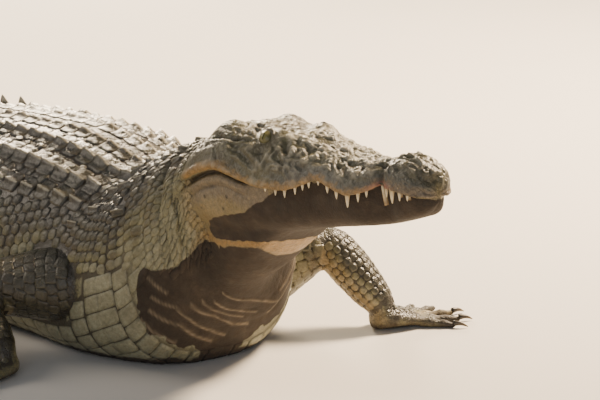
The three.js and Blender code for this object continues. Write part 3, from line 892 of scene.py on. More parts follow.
@dataclass(frozen=True)
class Limb:
    """One leg, from its root in the trunk to its toes."""

    name: str
    sizes: LimbSizes
    side: int
    top: tuple[float, float, float]
    bend: tuple[float, float, float]
    end: tuple[float, float, float]
    heading: float  # how far the middle toe turns outward, in degrees
    inset: float = 4.0  # how far the hide lies under the tops of the scales
    voxel: float = 3.6
    lead: float = 0.16  # how far each length reaches over its upper joint, as a share of it
    overrun: float = 0.16  # and over its lower joint

    def joint(self, place: tuple[float, float, float]) -> Array:
        """Puts a joint on this leg's own side."""
        return np.array((place[0], place[1] * self.side, place[2]), float)

    def axis(self) -> Array:
        """The leg's middle line, from its root to the tips of its toes.

        Returns:
            Its four corners, in millimetres.
        """
        reach = self.sizes.palm + 0.8 * self.sizes.digits[2][1]
        top, bend, end = (self.joint(place) for place in (self.top, self.bend, self.end))
        return np.stack([top, bend, end, self.to_model(np.array((reach, 0.0, 12.0)))])

    def nearest_axis(self, points: Array) -> tuple[Array, Array]:
        """Finds the nearest place on the leg's middle line.

        Args:
            points: Places, in millimetres.

        Returns:
            That place for each, and how far along the line it is, from 0 to 1.
        """
        line = self.axis()
        best = np.full(points.shape[:-1], 1e9)
        place = np.zeros(points.shape)
        along = np.zeros(points.shape[:-1])
        for index, (a, b) in enumerate(zip(line[:-1], line[1:])):
            run = b - a
            t = np.clip((points - a) @ run / (run @ run), 0, 1)
            near = a + t[..., None] * run
            distance = np.linalg.norm(points - near, axis=-1)
            closer = distance < best
            best = np.where(closer, distance, best)
            place = np.where(closer[..., None], near, place)
            along = np.where(closer, (index + t) / 3, along)
        return place, along

    def inner_side(self, points: Array) -> Array:
        """How much places face the trunk and the ground, from -1 to 1.

        Args:
            points: Places, in millimetres.

        Returns:
            One number for each.
        """
        place, _ = self.nearest_axis(points)
        away = unit(points - place)
        return -0.8 * self.side * away[..., 1] - 0.5 * away[..., 2]

    def unwrap(self, points: Array) -> tuple[Array, Array]:
        """Where places lie on the hide's unwrap, on this leg's own strip of it.

        Args:
            points: Places, in millimetres.

        Returns:
            The two coordinates of each on the bake map.
        """
        place, along = self.nearest_axis(points)
        away = points - place
        angle = np.arctan2(away[..., 1] * self.side, away[..., 2]) / (2 * math.pi) + 0.5
        strip = ("left_fore_leg", "right_fore_leg", "left_hind_leg", "right_hind_leg").index(self.name)
        return 0.25 * strip + 0.005 + 0.24 * angle, 0.86 + 0.13 * along

    def half_at(self, length: int, t: float) -> float:
        """The half width of the upper (0) or lower (1) length part of the way along it."""
        start, middle, finish = (self.sizes.upper, self.sizes.lower)[length]
        return start + (finish - start) * t + (middle - (start + finish) / 2) * math.sin(math.pi * t)

    def to_model(self, points: Array) -> Array:
        """Takes points from the foot's frame, with X along the middle toe, to the model's.

        Args:
            points: Points in the foot's frame.

        Returns:
            The same points in the model's frame.
        """
        turn = math.radians(self.side * self.heading)
        c, s = math.cos(turn), math.sin(turn)
        end = self.joint(self.end)
        x = c * points[..., 0] - s * points[..., 1] + end[0]
        y = s * points[..., 0] + c * points[..., 1] + end[1]
        return np.stack([x, y, points[..., 2]], -1)

    def length_mesh(
        self, start: Array, finish: Array, widths: tuple[float, float, float]
    ) -> Shape:
        """Draws one rounded length of the leg between two joints.

        Args:
            start: The upper joint.
            finish: The lower joint.
            widths: Half widths at its start, middle and finish.

        Returns:
            The points and faces of the tube.
        """
        count = 22
        t = 0.5 - 0.5 * np.cos(math.pi * (np.arange(count + 1) + 0.1) / (count + 0.2))
        place = -self.lead + t * (1 + self.lead + self.overrun)
        blend = np.clip(place, 0, 1)
        swell = widths[1] - (widths[0] + widths[2]) / 2
        base = widths[0] + (widths[2] - widths[0]) * blend
        half = (base + swell * np.sin(math.pi * blend)) * np.sqrt(1 - np.abs(2 * t - 1) ** 4)
        half = np.maximum(half - self.inset, 1.0)
        run = finish - start
        forward = unit(run)
        left = unit(np.cross((0, 0, 1.0), forward))
        up = np.cross(forward, left)
        centres = start + place[:, None] * run
        sizes = np.stack([half, half * 0.92], -1)
        left, up = (np.tile(axis, (count + 1, 1)) for axis in (left, up))
        return tube(centres, left, up, sizes, 40)

    def palm_mesh(self) -> Shape:
        """Draws the wrist or heel and the palm.

        Returns:
            Its points and faces.
        """
        foot = self.sizes
        t = 0.5 - 0.5 * np.cos(math.pi * (np.arange(19) + 0.1) / 18.2)
        rounding = np.sqrt(1 - np.abs(2 * t - 1) ** 5) * 0.9 + 0.1
        depth = mix(foot.depth, foot.knuckle, t**0.8) * rounding
        breadth = mix(foot.breadth * 0.86, foot.breadth * 1.12, t) * rounding
        centres = np.stack([-0.3 * foot.palm + 1.25 * foot.palm * t, 0 * t, depth * 0.92], -1)
        return self.flat_tube(centres, np.array((0.0, 1.0, 0.0)), breadth - 2, depth - 2)

    def flat_tube(self, centres: Array, left: Array, across: Array, high: Array) -> Shape:
        """Draws a tube in the foot's frame, pressed flat on the ground.

        Args:
            centres: The middles of its rings.
            left: The direction of each ring's first radius.
            across: Each ring's radius to the left.
            high: Each ring's radius upward.

        Returns:
            Its points and faces.
        """
        rings = len(centres)
        axes = (np.tile(left, (rings, 1)), np.tile((0.0, 0.0, 1.0), (rings, 1)))
        sizes = np.stack([np.maximum(across, 1), np.maximum(high, 1)], -1)
        points, faces = tube(centres, *axes, sizes, 28)
        points[:, 2] = np.maximum(points[:, 2], 0)
        return self.to_model(points), faces

    def digit_line(self, index: int) -> tuple[Array, Array, float]:
        """Finds where a toe starts and which way it points, in the foot's frame, and its length.

        Args:
            index: Which toe, counted from the inner one.

        Returns:
            Its start, its direction and its length.
        """
        foot = self.sizes
        turn, length = foot.digits[index]
        angle = math.radians(-self.side * turn)
        spread = foot.breadth * 1.7 / len(foot.digits)
        across = -self.side * ((len(foot.digits) - 1) / 2 - index) * spread
        start = np.array((foot.palm * 0.78, across, foot.knuckle * 0.8))
        return start, np.array((math.cos(angle), math.sin(angle), 0.0)), length

    def digit_mesh(self, index: int) -> Shape:
        """Draws one toe, with swollen joints and a blunt end, flat on the ground.

        Args:
            index: Which toe, counted from the inner one.

        Returns:
            Its points and faces.
        """
        start, direction, length = self.digit_line(index)
        t = np.linspace(0, 1, 25)
        half = self.sizes.knuckle * (1 - 0.36 * t / 0.86) * (1 + 0.09 * np.cos(2 * math.pi * 3 * t))
        half *= np.sqrt(1 - np.clip((t - 0.88) / 0.12, 0, 1) ** 2 * 0.95)
        half = half - 1.2
        centres = start + t[:, None] * direction * length
        centres[:, 2] = half * 0.86
        left = np.array((-direction[1], direction[0], 0.0))
        return self.flat_tube(centres, left, half, half)

    def web_mesh(self, index: int) -> Shape:
        """Draws the skin between two toes of a hind foot.

        Args:
            index: The first of the two toes.

        Returns:
            Its points and faces.
        """
        first, second = self.digit_line(index), self.digit_line(index + 1)
        t = np.linspace(0, 1, 9)[:, None]
        a = first[0] + t * first[1] * first[2] * 0.5
        b = second[0] + t * second[1] * second[2] * 0.5
        centres = (a + b) / 2
        across = np.linalg.norm(b - a, axis=1) / 2 * np.sqrt(1 - 0.9 * t[:, 0] ** 4)
        centres[:, 2] = 4.5
        left = unit(np.cross((0, 0, 1.0), first[1] + second[1]))
        return self.flat_tube(centres, left, across, np.full(9, 4.2))

    def flesh(self) -> bpy.types.Object:
        """Melts the lengths, palm and toes of the leg into one closed form.

        Returns:
            The leg as one closed mesh.
        """
        top, bend, end = (self.joint(place) for place in (self.top, self.bend, self.end))
        parts = [
            self.length_mesh(top, bend, self.sizes.upper),
            self.length_mesh(bend, end, self.sizes.lower),
            self.palm_mesh(),
        ]
        parts += [self.digit_mesh(index) for index in range(len(self.sizes.digits))]
        parts += [self.web_mesh(index) for index in range(len(self.sizes.digits) - 1)]
        made = make_piece(self.name, *join_meshes(parts))
        melt = made.modifiers.new("melt", "REMESH")
        melt.mode = "VOXEL"
        melt.voxel_size = self.voxel * MM
        apply_modifiers(made)
        points = read_points(made.data)
        toes = smooth_step(70, 20, points[:, 2])
        weight = mix(0.5, 0.25, toes)
        points = relax(points, read_edges(made.data), weight, 14)
        points[:, 2] = np.maximum(points[:, 2], 0.0)
        write_points(made.data, points)
        return made


# ---------------------------------------------------------------- sculpting the head and neck


@dataclass(frozen=True)
class Furrow:
    """A soft trough, or with a height below zero a welt, along a line in the head's own frame."""

    path: tuple[tuple[float, float, float], ...]
    depth: float
    width: float

    def depth_at(self, points: Array) -> Array:
        """Says how deep the furrow is at points given on the head's left side.

        Args:
            points: Places in the head's frame.

        Returns:
            Depths, in millimetres.
        """
        return self.depth * bump(0, self.width, line_distance(points, self.path))


FURROWS = (
    Furrow(((122, 84, 84), (100, 88, 86), (72, 96, 84), (44, 100, 86), (18, 104, 88)), 9.0, 4.5),
    Furrow(((112, 96, 74), (70, 108, 74), (30, 112, 80)), 3.0, 4.0),
    Furrow(((150, 92, 62), (110, 104, 62), (60, 118, 66), (0, 120, 72)), 2.6, 5.0),
    Furrow(((176, 84, 66), (140, 96, 58), (100, 108, 50)), 2.0, 4.5),
    Furrow(((126, 70, 104), (96, 66, 106), (64, 62, 112)), 2.4, 5.0),
    Furrow(((438, 44, 6), (438, 40, 30), (436, 30, 46)), 5.0, 9.0),
    Furrow(
        ((-44, 134, 2), (-10, 138, 14), (20, 136, 23), (55, 131, 25), (90, 123, 14), (120, 116, 4)),
        5.5,
        4.2,
    ),
    Furrow(((-36, 130, -14), (20, 132, -2), (70, 124, -8)), 2.2, 5.0),
    Furrow(((-30, 128, -34), (10, 130, -26), (50, 125, -24)), 1.6, 4.0),
    Furrow(((-20, 124, -52), (20, 127, -50), (70, 120, -40)), 1.2, 4.0),
)


@dataclass(frozen=True)
class EyeSocket:
    """Where an eye sits and how its lids close round it, in the head's own frame."""

    centre: tuple[float, float, float] = (137.0, 66.0, 84.0)
    outward: tuple[float, float, float] = (0.40, 0.82, 0.34)
    ball: float = 15.8
    lid: float = 17.6  # the outer radius of the lids
    long: float = 17.4  # half the length of the opening
    high: float = 12.0  # half its height
    reach: float = 31.0  # how far the lids spread before they meet the brow and the cheek

    def axes(self) -> tuple[Array, Array, Array]:
        """The directions outward, forward and upward of the eye on the left.

        Returns:
            Three directions of length 1.
        """
        outward = unit(np.array(self.outward))
        forward = np.array((1.0, 0.0, -0.12))
        forward = unit(forward - outward * (forward @ outward))
        return outward, forward, np.cross(outward, forward) * -1.0

    def close_lids(self, points: Array) -> Array:
        """Shapes the hide round the eye.

        Args:
            points: Points of the hide on the left side, in the head's own frame.

        Returns:
            The same points, drawn over the ball as lids and pressed in behind their opening.
        """
        outward, forward, upward = self.axes()
        if upward[2] < 0:
            upward = -upward
        offset = points - np.array(self.centre)
        a, f, u = offset @ outward, offset @ forward, offset @ upward
        radius = np.linalg.norm(offset, axis=1)
        flat = np.hypot(f, u)
        near = (flat < self.reach) & (a > -10) & (radius < 60)
        opening = np.hypot(f / self.long, (u + 1.0) / self.high)
        shell = self.lid + 1.9 * bump(1.22, 0.2, opening) - 0.8 * bump(1.75, 0.28, opening)
        shell = np.where(opening < 1.0, mix(self.ball - 5, shell, smooth_step(0.72, 1.0, opening)), shell)
        # Above the eye the lid is a bony shelf that stands out over the ball.
        shell = shell + 2.6 * smooth_step(4, 15, u) * smooth_step(1.0, 1.4, opening)
        hold = 1 - smooth_step(self.lid * 0.93, self.reach, flat)
        direction = offset / np.maximum(radius, 1e-6)[:, None]
        target = np.array(self.centre) + direction * shell[:, None]
        made = points.copy()
        made[near] = mix(points[near], target[near], hold[near, None])
        return made


@dataclass
class HeadSculpt:
    """Adds to the bare form what folds, bone and muscle give the head, throat and neck."""

    form: HideForm
    socket: EyeSocket

    def apply(self) -> None:
        """Shapes the whole grid."""
        form = self.form
        rows = np.nonzero(form.station > 560)[0]
        first = rows[0]
        points = form.points[first:]
        normals = form.normals[first:]
        local = to_head(points)
        mirrored = local.copy()
        side = np.ones(points.shape[:2])
        side[:, Spread.HALF + 1 :] = -1
        mirrored[..., 1] *= side
        flat = mirrored.reshape(-1, 3)
        depth = sum(furrow.depth_at(flat) for furrow in FURROWS).reshape(points.shape[:2])
        lift = self.relief(mirrored, local, form.head_at[first:]) - depth
        # The relief is kept for the colour, which paints shade into the folds and a highlight onto the
        # ridges.
        form.relief[first:] = lift
        swell = self.muscle(mirrored, form.head_at[first:])
        form.points[first:] = points + normals * (lift + swell)[..., None]
        self.soften_jaw(first)
        self.open_eyes(first)
        form.refresh()
        self.wrinkle_neck()
        form.points[..., 2] = np.maximum(form.points[..., 2], 0.0)
        form.refresh()

    def muscle(self, mirrored: Array, at: Array) -> Array:
        """Says how far the cheek's muscle and the thick folds at the corner of the mouth swell.

        Args:
            mirrored: The grid's points in the head's frame, both sides laid on the left.
            at: How far ahead each row is in the head's frame.

        Returns:
            Heights, in millimetres.
        """
        x, z = mirrored[..., 0], mirrored[..., 2]
        share = self.form.column_share()
        over_lip = z - SKULL.read("lip", at)[:, None]
        jaw = (share > (Spread.ROOF + Spread.LIP) / Spread.HALF) * 1.0
        corner = smooth_step(-70, -45, x) * smooth_step(150, 95, x)
        swell = 3.5 * jaw * bump(30, 55, x) * bump(-52, 24, z)
        swell = swell + 6.0 * corner * bump(6, 8.0, over_lip)
        return swell + 3.2 * corner * jaw * bump(-20, 7.0, over_lip)

    def relief(self, mirrored: Array, local: Array, at: Array) -> Array:
        """Says how far lumps, ridges and wrinkles raise the hide of the head.

        Args:
            mirrored: The grid's points in the head's frame, both sides laid on the left.
            local: The same points, each on its own side.
            at: How far ahead each row is in the head's frame.

        Returns:
            Heights, in millimetres.
        """
        x, y, z = (mirrored[..., axis] for axis in range(3))
        share = self.form.column_share()
        roof = share < Spread.ROOF / Spread.HALF
        on_head = smooth_step(-40, 5, at)[:, None]
        lip = SKULL.read("lip", at)[:, None]
        above = np.clip((z - lip) / 40, 0, 1)
        # Rough bone under thin skin: lumps strung into ridges along the snout.
        stretched = local / np.array((1.5, 1.0, 1.0))
        ridge = 1 - np.abs(Grain.lumps(stretched, 20, 3)) * 2
        fine = 1 - np.abs(Grain.lumps(stretched, 9, 5)) * 2
        snout = smooth_step(150, 230, x)
        slant = np.stack([0.82 * x - 0.57 * z, 0.8 * local[..., 1], 0.57 * x + 0.82 * z], -1)
        slant = slant + 7 * Grain.lumps(local, 34, 14)[..., None]
        rope = 1 - np.abs(Grain.lumps(slant / np.array((3.0, 1.0, 1.0)), 14, 15, 2)) * 2
        lump, _ = Grain.cells(local + 4 * ridge[..., None], np.array((25.0, 19.0, 19.0)), 16)
        dome = np.exp(-((((x - 15) / 40) ** 2 + ((y - 68) / 26) ** 2) ** 1.5))
        rough = roof * on_head * above * mix(0.75, 1.2, snout) * (1 - 0.3 * smooth_step(425, 450, x))
        eye = np.linalg.norm(mirrored - np.array(self.socket.centre), axis=-1)
        rough = rough * (1 - 0.85 * dome) * smooth_step(20, 46, eye)
        aside = smooth_step(0.35, 0.75, share * Spread.HALF / Spread.ROOF)
        lift = rough * (1.4 * ridge + 0.9 * fine + mix(3.0, 4.4, aside) * rope)
        lift += rough * mix(2.6, 1.6, aside) * (smooth_step(0.0, 0.45, lump) - 0.5)
        lift += 1.6 * roof * on_head * Grain.lumps(local, 42, 9)
        # A low welt runs from the brow down the middle of the snout, with a hump before the eyes.
        lift += roof * 3.0 * bump(178, 22, x) * bump(40, 16, y)
        lift += roof * 2.2 * smooth_step(190, 220, x) * (1 - smooth_step(400, 430, x)) * bump(0, 9, y)
        lift += roof * 2.0 * smooth_step(230, 260, x) * (1 - smooth_step(400, 430, x)) * bump(30, 8, y)
        # The lip is a swollen rim that swells over each large tooth.
        lip_column = bump(Spread.ROOF - 3, 5.0, share * Spread.HALF)
        scallop = sum(bump(tooth, 8, x) for tooth, _ in UPPER_TEETH) - 0.5
        crumbs = 1.3 * Grain.lumps(local, 10, 23, 2)
        lift += on_head * lip_column * (1.5 + crumbs + 1.5 * scallop * smooth_step(150, 180, x))
        # Low lumps roughen the side of the jaw.
        jaw = (share > (Spread.ROOF + Spread.LIP) / Spread.HALF) * 1.0
        lift += jaw * 0.8 * on_head * Grain.lumps(local, 30, 12)
        # Thin skin over the cheek wrinkles in fine lines along the jaw.
        over_lip = z - lip
        corner = smooth_step(-66, -44, x) * smooth_step(140, 100, x) * (share > 0.2)
        lift -= corner * (9.5 * bump(-7, 3.6, over_lip) + 3.0 * bump(-33, 4.0, over_lip))
        thin = jaw * on_head * (1 - smooth_step(120, 200, x))
        lines = Grain.lumps(local / np.array((4.0, 1.0, 1.0)), 7, 18)
        lift += thin * (0.5 * lines + 0.35 * Grain.lumps(local, 6, 19))
        # Nostrils: a raised disc with a slit on each side.
        slit = np.hypot((x - 486) / 13, (y - 13) / 3.2)
        lift -= roof * 6.5 * (1 - smooth_step(0.6, 1.15, slit)) * smooth_step(30, 42, z)
        lift += roof * 1.8 * bump(1.6, 0.5, slit) * smooth_step(30, 42, z)
        return lift

    def soften_jaw(self, first: int) -> None:
        """Rounds the edge where the side of the jaw turns under into the throat.

        Args:
            first: The row of the grid at which the head begins.
        """
        points = self.form.points[first:]
        corner = Spread.ROOF + Spread.LIP + Spread.JAW
        for middle in (corner, Spread.ROUND - corner):
            reach = np.arange(middle - 24, middle + 25)
            share = (bump(middle, 12, reach) * 0.5)[None, :, None]
            share = share * smooth_step(230, 130, self.form.head_at[first:])[:, None, None]
            for _ in range(60):
                between = (points[:, reach - 1] + points[:, reach + 1]) / 2
                points[:, reach] += (between - points[:, reach]) * share

    def open_eyes(self, first: int) -> None:
        """Closes the lids round both eyes.

        Args:
            first: The row of the grid at which the head begins.
        """
        form = self.form
        half = Spread.HALF
        local = to_head(form.points[first:])
        for side, columns in ((1, np.arange(0, half)), (-1, np.arange(half + 1, 2 * half))):
            block = local[:, columns].reshape(-1, 3).copy()
            block[:, 1] *= side
            block = self.socket.close_lids(block)
            block[:, 1] *= side
            local[:, columns] = block.reshape(-1, len(columns), 3)
        form.points[first:] = from_head(local)

    def wrinkle_neck(self) -> None:
        """Draws the folds of the neck and the creases of the throat."""
        form = self.form
        s = form.station[:, None]
        share = form.column_share()
        wave = 9 * np.sin(share * 9.0) + 12 * Grain.lumps(form.points, 90, 21)
        fold = 0.0
        for place, depth, width, low, high in NECK_FOLDS:
            mask = smooth_step(low - 0.08, low + 0.05, share)
            mask = mask * (1 - smooth_step(high - 0.05, high + 0.08, share))
            fold = fold + depth * bump(place, width, s + wave) * mask
        crease = crease_distance(form.station[:, None], form.around())
        fold = fold - 1.4 * bump(0, 2.0, crease) + 1.1 * bump(5.5, 3.0, crease)
        fold = np.broadcast_to(fold, form.points.shape[:2])
        form.points -= form.normals * fold[..., None]
        # The folds lower the relief too, which paints shade into them.
        form.relief -= 0.6 * fold
        trunk = 2.2 * Grain.lumps(form.points, 110, 30) * (1 - smooth_step(600, 700, s))
        clear = smooth_step(4, 40, form.points[..., 2])
        form.points += form.normals * (trunk * clear)[..., None]


# Station, depth, half width, and the shares of the half ring between which a fold runs.
NECK_FOLDS = (
    (655, 7.5, 8.0, 0.12, 0.62),
    (692, 8.5, 6.5, 0.14, 0.66),
    (724, 5.0, 6.0, 0.18, 0.46),
    (612, 4.5, 8.0, 0.08, 0.52),
    (570, 3.5, 9.0, 0.1, 0.42),
    (640, 1.4, 3.0, 0.55, 1.0),
    (665, 1.2, 3.0, 0.66, 1.0),
    (588, 1.4, 3.0, 0.62, 1.0),
)

UPPER_TEETH = (  # place along the lips, and length below them
    (176, 8), (201, 11), (223, 14), (248, 13), (266, 11), (281, 12), (304, 11), (328, 17), (352, 18),
    (379, 24), (399, 17), (414, 12), (457, 18), (476, 28), (497, 17), (514, 12),
)

THROAT_GIRTH = 560.0  # millimetres from the back to the underside, one way round
THROAT_CREASES = (  # place and way round, from 0 down the right side past 1 at the underside
    ((626, 0.587), (644, 0.683)),
    ((621, 0.647), (641, 0.744), (638, 0.821), (626, 0.924), (616, 0.989)),
    ((657, 0.791), (654, 0.909), (632, 1.0), (626, 1.071)),
    ((679, 0.889), (666, 0.985), (647, 1.088)),
    ((702, 0.918), (686, 1.033), (638, 1.196)),
    ((610, 0.674), (626, 0.799), (610, 0.946)),
    ((594, 0.674), (604, 0.821)),
    ((670, 0.835), (662, 0.93), (645, 1.03)),
    ((630, 1.15), (640, 1.26), (636, 1.36)),
    ((655, 1.2), (652, 1.32), (640, 1.42)),
)


def crease_distance(station: Array, around: Array) -> Array:
    """Says how far places are from the fine creases of the throat, in millimetres.

    Args:
        station: Places along the body.
        around: How far round the body they are, from 0 at the back to 1 below.

    Returns:
        The distance to the nearest crease for each place.
    """
    station, around = np.broadcast_arrays(station, around)
    places = np.stack([station, around * THROAT_GIRTH], -1).astype(float)
    scale = (1.0, THROAT_GIRTH)
    lines = [line_distance(places, np.array(path) * scale) for path in THROAT_CREASES]
    return np.minimum.reduce(lines)


# ---------------------------------------------------------------- markings


MUD_EDGE = Profile(
    ("at", "share"),
    ((560, 0.9), (604, 0.6), (626, 0.555), (686, 0.69), (740, 0.775), (809, 0.795), (880, 0.86)),
)
JAW_MUD = Profile(
    ("at", "top"),
    ((-60, -96), (-36, -80), (0, -66), (40, -56), (80, -50), (120, -38), (160, -20), (210, 4), (545, 30)),
)


class Mark(str, Enum):
    """What the points of hide and scales carry for the finishes."""

    PALE = "pale"  # 0 on the dark back, 1 on the cream underside
    MUD = "mud"  # dried mud, and the same colour in a band just above the floor
    WARM = "warm"  # tan to orange skin of lips and cheeks, and painted sunlight on the front of the throat
    GUM = "gum"  # bare pink gum
    HIGH = "high"  # 0 in seams and folds, 1 on middles, keels and ridges: it sets painted shade and painted highlight
    TONE = "tone"  # each scale's own shade
    CLEAN = "clean"  # fine folds that the mud has left bare
    BLUE = "blue"  # slate-blue bone of the head
    FINE = "fine"  # how much fine creasing shows where no scale lies


class Markings:
    """The animal's markings, which hide and scales share."""

    @staticmethod
    def body(points: Array, station: Array, around: Array) -> dict[Mark, Array]:
        """Marks trunk, tail, neck and head.

        Args:
            points: Places, in millimetres.
            station: How far along the body each is.
            around: The way round of each, from 0 on the back down the right side to 1 and up to 2.

        Returns:
            The value of every mark at every place.
        """
        share = 1 - np.abs(1 - around)
        local = to_head(points)
        x, z = local[..., 0], local[..., 2]
        ragged = Grain.lumps(points, 46, 40, 3)
        fine = Grain.lumps(points, 11, 42, 2)
        on_head = smooth_step(735, 765, station)
        lip = SKULL.read("lip", x)
        above = (share < (Spread.ROOF + 0.5) / Spread.HALF) * on_head
        below = on_head * (share > (Spread.ROOF + Spread.LIP - 3) / Spread.HALF)
        under = smooth_step(0.3, 0.52, share + 0.04 * ragged)
        tail = 1 - smooth_step(-900, -500, station)
        pale = mix(under, 0.75 * smooth_step(0.5, 0.8, share + 0.05 * ragged), tail)
        neck = smooth_step(540, 640, station)
        pale = mix(pale, mix(0.28, 0.84, smooth_step(0.2, 0.5, share + 0.03 * ragged)), neck)
        pale = mix(pale, 0.42 + 0.08 * ragged, on_head * (share < Spread.ROOF / Spread.HALF))
        beyond = share - MUD_EDGE.read("share", station)
        mud = smooth_step(-0.01, 0.015, beyond + 0.022 * ragged + 0.008 * fine)
        mud *= smooth_step(596, 610, station + 12 * ragged + 5 * fine + 50 * smooth_step(0.88, 1.0, share))
        mud *= 1 - smooth_step(852, 880, station + 10 * ragged)
        jaw_mud = smooth_step(6, -6, z - JAW_MUD.read("top", x) + 4 * ragged + 3 * fine) * below
        jaw_mud *= smooth_step(-46, -38, x - 0.06 * np.minimum((z + 86) ** 2, 330) + 2 * fine)
        jaw_mud *= 1 - (1 - smooth_step(160, 200, x)) * smooth_step(-103, -109, z + 2 * fine)
        jaw_mud *= 1 - smooth_step(470, 490, x) * smooth_step(-8, -3, z - lip)
        mud = np.maximum(mud * (1 - on_head * (z > -96)), jaw_mud)
        # The mud colour also runs in a band just above the floor, from the middle of the trunk forward.
        floor_band = 0.75 * smooth_step(30, 6, points[..., 2] + 10 * ragged) * smooth_step(-700, -300, station)
        mud = np.maximum(mud, floor_band)
        crumbs = Grain.lumps(points, 9, 44, 2)
        lip_line = above * smooth_step(16, 8, z - lip + 4 * ragged + 6 * crumbs)
        lip_line = lip_line * (1 - 0.6 * smooth_step(430, 470, x)) * (0.85 + 0.3 * crumbs)
        arch = smooth_step(14, 6, np.abs(z - lip - 5) + 3 * crumbs) * above * smooth_step(130, 60, x)
        cheek = below * smooth_step(-50, -64, z - lip + 6 * ragged) * smooth_step(80, 40, x + 5 * fine)
        cheek = np.maximum(cheek, 0.8 * smooth_step(700, 735, station) * (share > 0.46) * (share < 0.75))
        # Painted sunlight: the front of the throat below the jaw gets the warm tan where no mud lies.
        lit = smooth_step(660, 710, station) * smooth_step(0.68, 0.8, share)
        warm = np.maximum.reduce([0.85 * lip_line, 0.9 * arch, 0.42 * cheek, lit * (1 - mud)])
        pale = mix(pale, 0.4 + 0.1 * ragged, below * smooth_step(-60, -25, x))
        pale = mix(pale, 0.78, cheek)
        grey = below * (x < 170) * smooth_step(-62, -44, z - lip + 6 * ragged)
        gum = below * smooth_step(11, 3, lip - z) * smooth_step(420, 440, x) * 0.7
        gum = np.maximum(gum, 0.7 * bump(446, 26, x) * above * smooth_step(12, 4, z - lip))
        gum *= 1 - smooth_step(505, 522, x)
        blue = above * smooth_step(150, 250, x + 20 * ragged) * smooth_step(0.2, 0.42, share)
        skin = np.maximum(on_head, smooth_step(560, 640, station) * (share > 0.45))
        return {
            Mark.PALE: pale,
            Mark.MUD: np.clip(mud, 0, 1),
            Mark.WARM: np.clip(warm, 0, 1),
            Mark.GUM: np.clip(gum, 0, 1),
            Mark.CLEAN: (0.6 + 0.3 * fine) * bump(0, 1.8, crease_distance(station, around)),
            Mark.BLUE: np.maximum(0.55 * blue, 0.6 * grey),
            Mark.FINE: skin * (1 - 0.5 * below * (x < 200)) * (1 - 0.4 * above),
        }

    @staticmethod
    def leg(points: Array, limb: Limb) -> dict[Mark, Array]:
        """Marks one leg: dark outside, paler on its inner side.

        Args:
            points: Places, in millimetres.
            limb: The leg that they lie on.

        Returns:
            The value of each mark at those places.
        """
        ragged = Grain.lumps(points, 40, 41, 3)
        inner = limb.inner_side(points)
        pale = np.clip(0.11 + 0.75 * smooth_step(0.05, 0.7, inner + 0.18 * ragged), 0, 1)
        mud = 0.55 * smooth_step(46, 8, points[..., 2] + 12 * ragged)
        zero = np.zeros_like(pale)
        return {
            Mark.PALE: pale,
            Mark.MUD: mud,
            Mark.WARM: 0.5 * smooth_step(0.35, 0.8, inner),
            Mark.GUM: zero,
            Mark.CLEAN: zero,
            Mark.BLUE: zero,
            Mark.FINE: zero + 0.6,
        }


# ---------------------------------------------------------------- surfaces that scales lie on


@dataclass
class Sheet:
    """A surface laid out as a grid, with rows along it and columns round it."""

    points: Array
    normals: Array

    def sample(self, rows: Array, columns: Array) -> tuple[Array, Array]:
        """Finds places between the points of the grid.

        Args:
            rows: Places along, in rows.
            columns: Places round, in columns.

        Returns:
            The points and their normals.
        """
        count, around = self.points.shape[:2]
        row = np.clip(rows, 0, count - 1.001)
        r = np.floor(row).astype(int)
        c = np.floor(columns).astype(int)
        fr, fc = (row - r)[..., None], (columns - c)[..., None]
        c, d = c % around, (c + 1) % around
        made = []
        for table in (self.points, self.normals):
            low = mix(table[r, c], table[r, d], fc)
            high = mix(table[r + 1, c], table[r + 1, d], fc)
            made.append(mix(low, high, fr))
        return made[0], unit(made[1])

    def pitch(self, row: Array, column: Array) -> tuple[Array, Array]:
        """Says how many millimetres one row and one column measure at some places.

        Args:
            row: Rows of the sheet.
            column: Columns of the sheet.

        Returns:
            The length of one row and of one column at each place.
        """
        a, _ = self.sample(row - 0.5, column)
        b, _ = self.sample(row + 0.5, column)
        c, _ = self.sample(row, column - 0.5)
        d, _ = self.sample(row, column + 0.5)
        along = np.maximum(np.linalg.norm(b - a, axis=-1), 0.3)
        return along, np.maximum(np.linalg.norm(d - c, axis=-1), 0.3)

    def marks(self, points: Array, rows: Array, columns: Array) -> dict[Mark, Array]:
        """The marks that scales carry at some places."""
        raise NotImplementedError

    def bake_place(self, row: Array, column: Array) -> tuple[Array, Array]:
        """Where places lie on the hide's unwrap."""
        raise NotImplementedError


@dataclass
class BodySheet(Sheet):
    """The sculpted grid of trunk, tail, neck and head."""

    form: HideForm | None = None

    @classmethod
    def of(cls, form: HideForm) -> "BodySheet":
        """Takes over a form's grid."""
        return cls(form.points, form.normals, form)

    def place(self, at: float, girth: float, side: int) -> tuple[float, float]:
        """Finds the row and column of a place.

        Args:
            at: How far along the body it is.
            girth: How far down the side from the middle of the back, in millimetres.
            side: 1 on the left, -1 on the right.

        Returns:
            Its row and its column.
        """
        form = self.form
        row = float(np.interp(at, form.station, np.arange(len(form.station))))
        line = form.girth[int(round(row)), : Spread.HALF + 1]
        column = float(np.interp(girth, line, np.arange(Spread.HALF + 1)))
        return row, column if side > 0 else Spread.ROUND - column

    def half_girth(self, at: float) -> float:
        """The way from the middle of the back to the middle of the underside."""
        row = int(round(float(np.interp(at, self.form.station, np.arange(len(self.form.station))))))
        return float(self.form.girth[row, Spread.HALF])

    def marks(self, points: Array, rows: Array, columns: Array) -> dict[Mark, Array]:
        """The marks that scales carry at some places."""
        station = np.interp(rows, np.arange(len(self.form.station)), self.form.station)
        return Markings.body(points, station, 2 - (columns % Spread.ROUND) / Spread.HALF)

    def bake_place(self, row: Array, column: Array) -> tuple[Array, Array]:
        """Where places lie on the hide's unwrap."""
        return body_unwrap(row / (len(self.points) - 1), column / Spread.ROUND)


LENGTH_ROWS = 40  # rings looked at on a length of a leg
PALM_ROWS = 24  # and on a palm
LEG_COLUMNS = 48  # places looked at round each


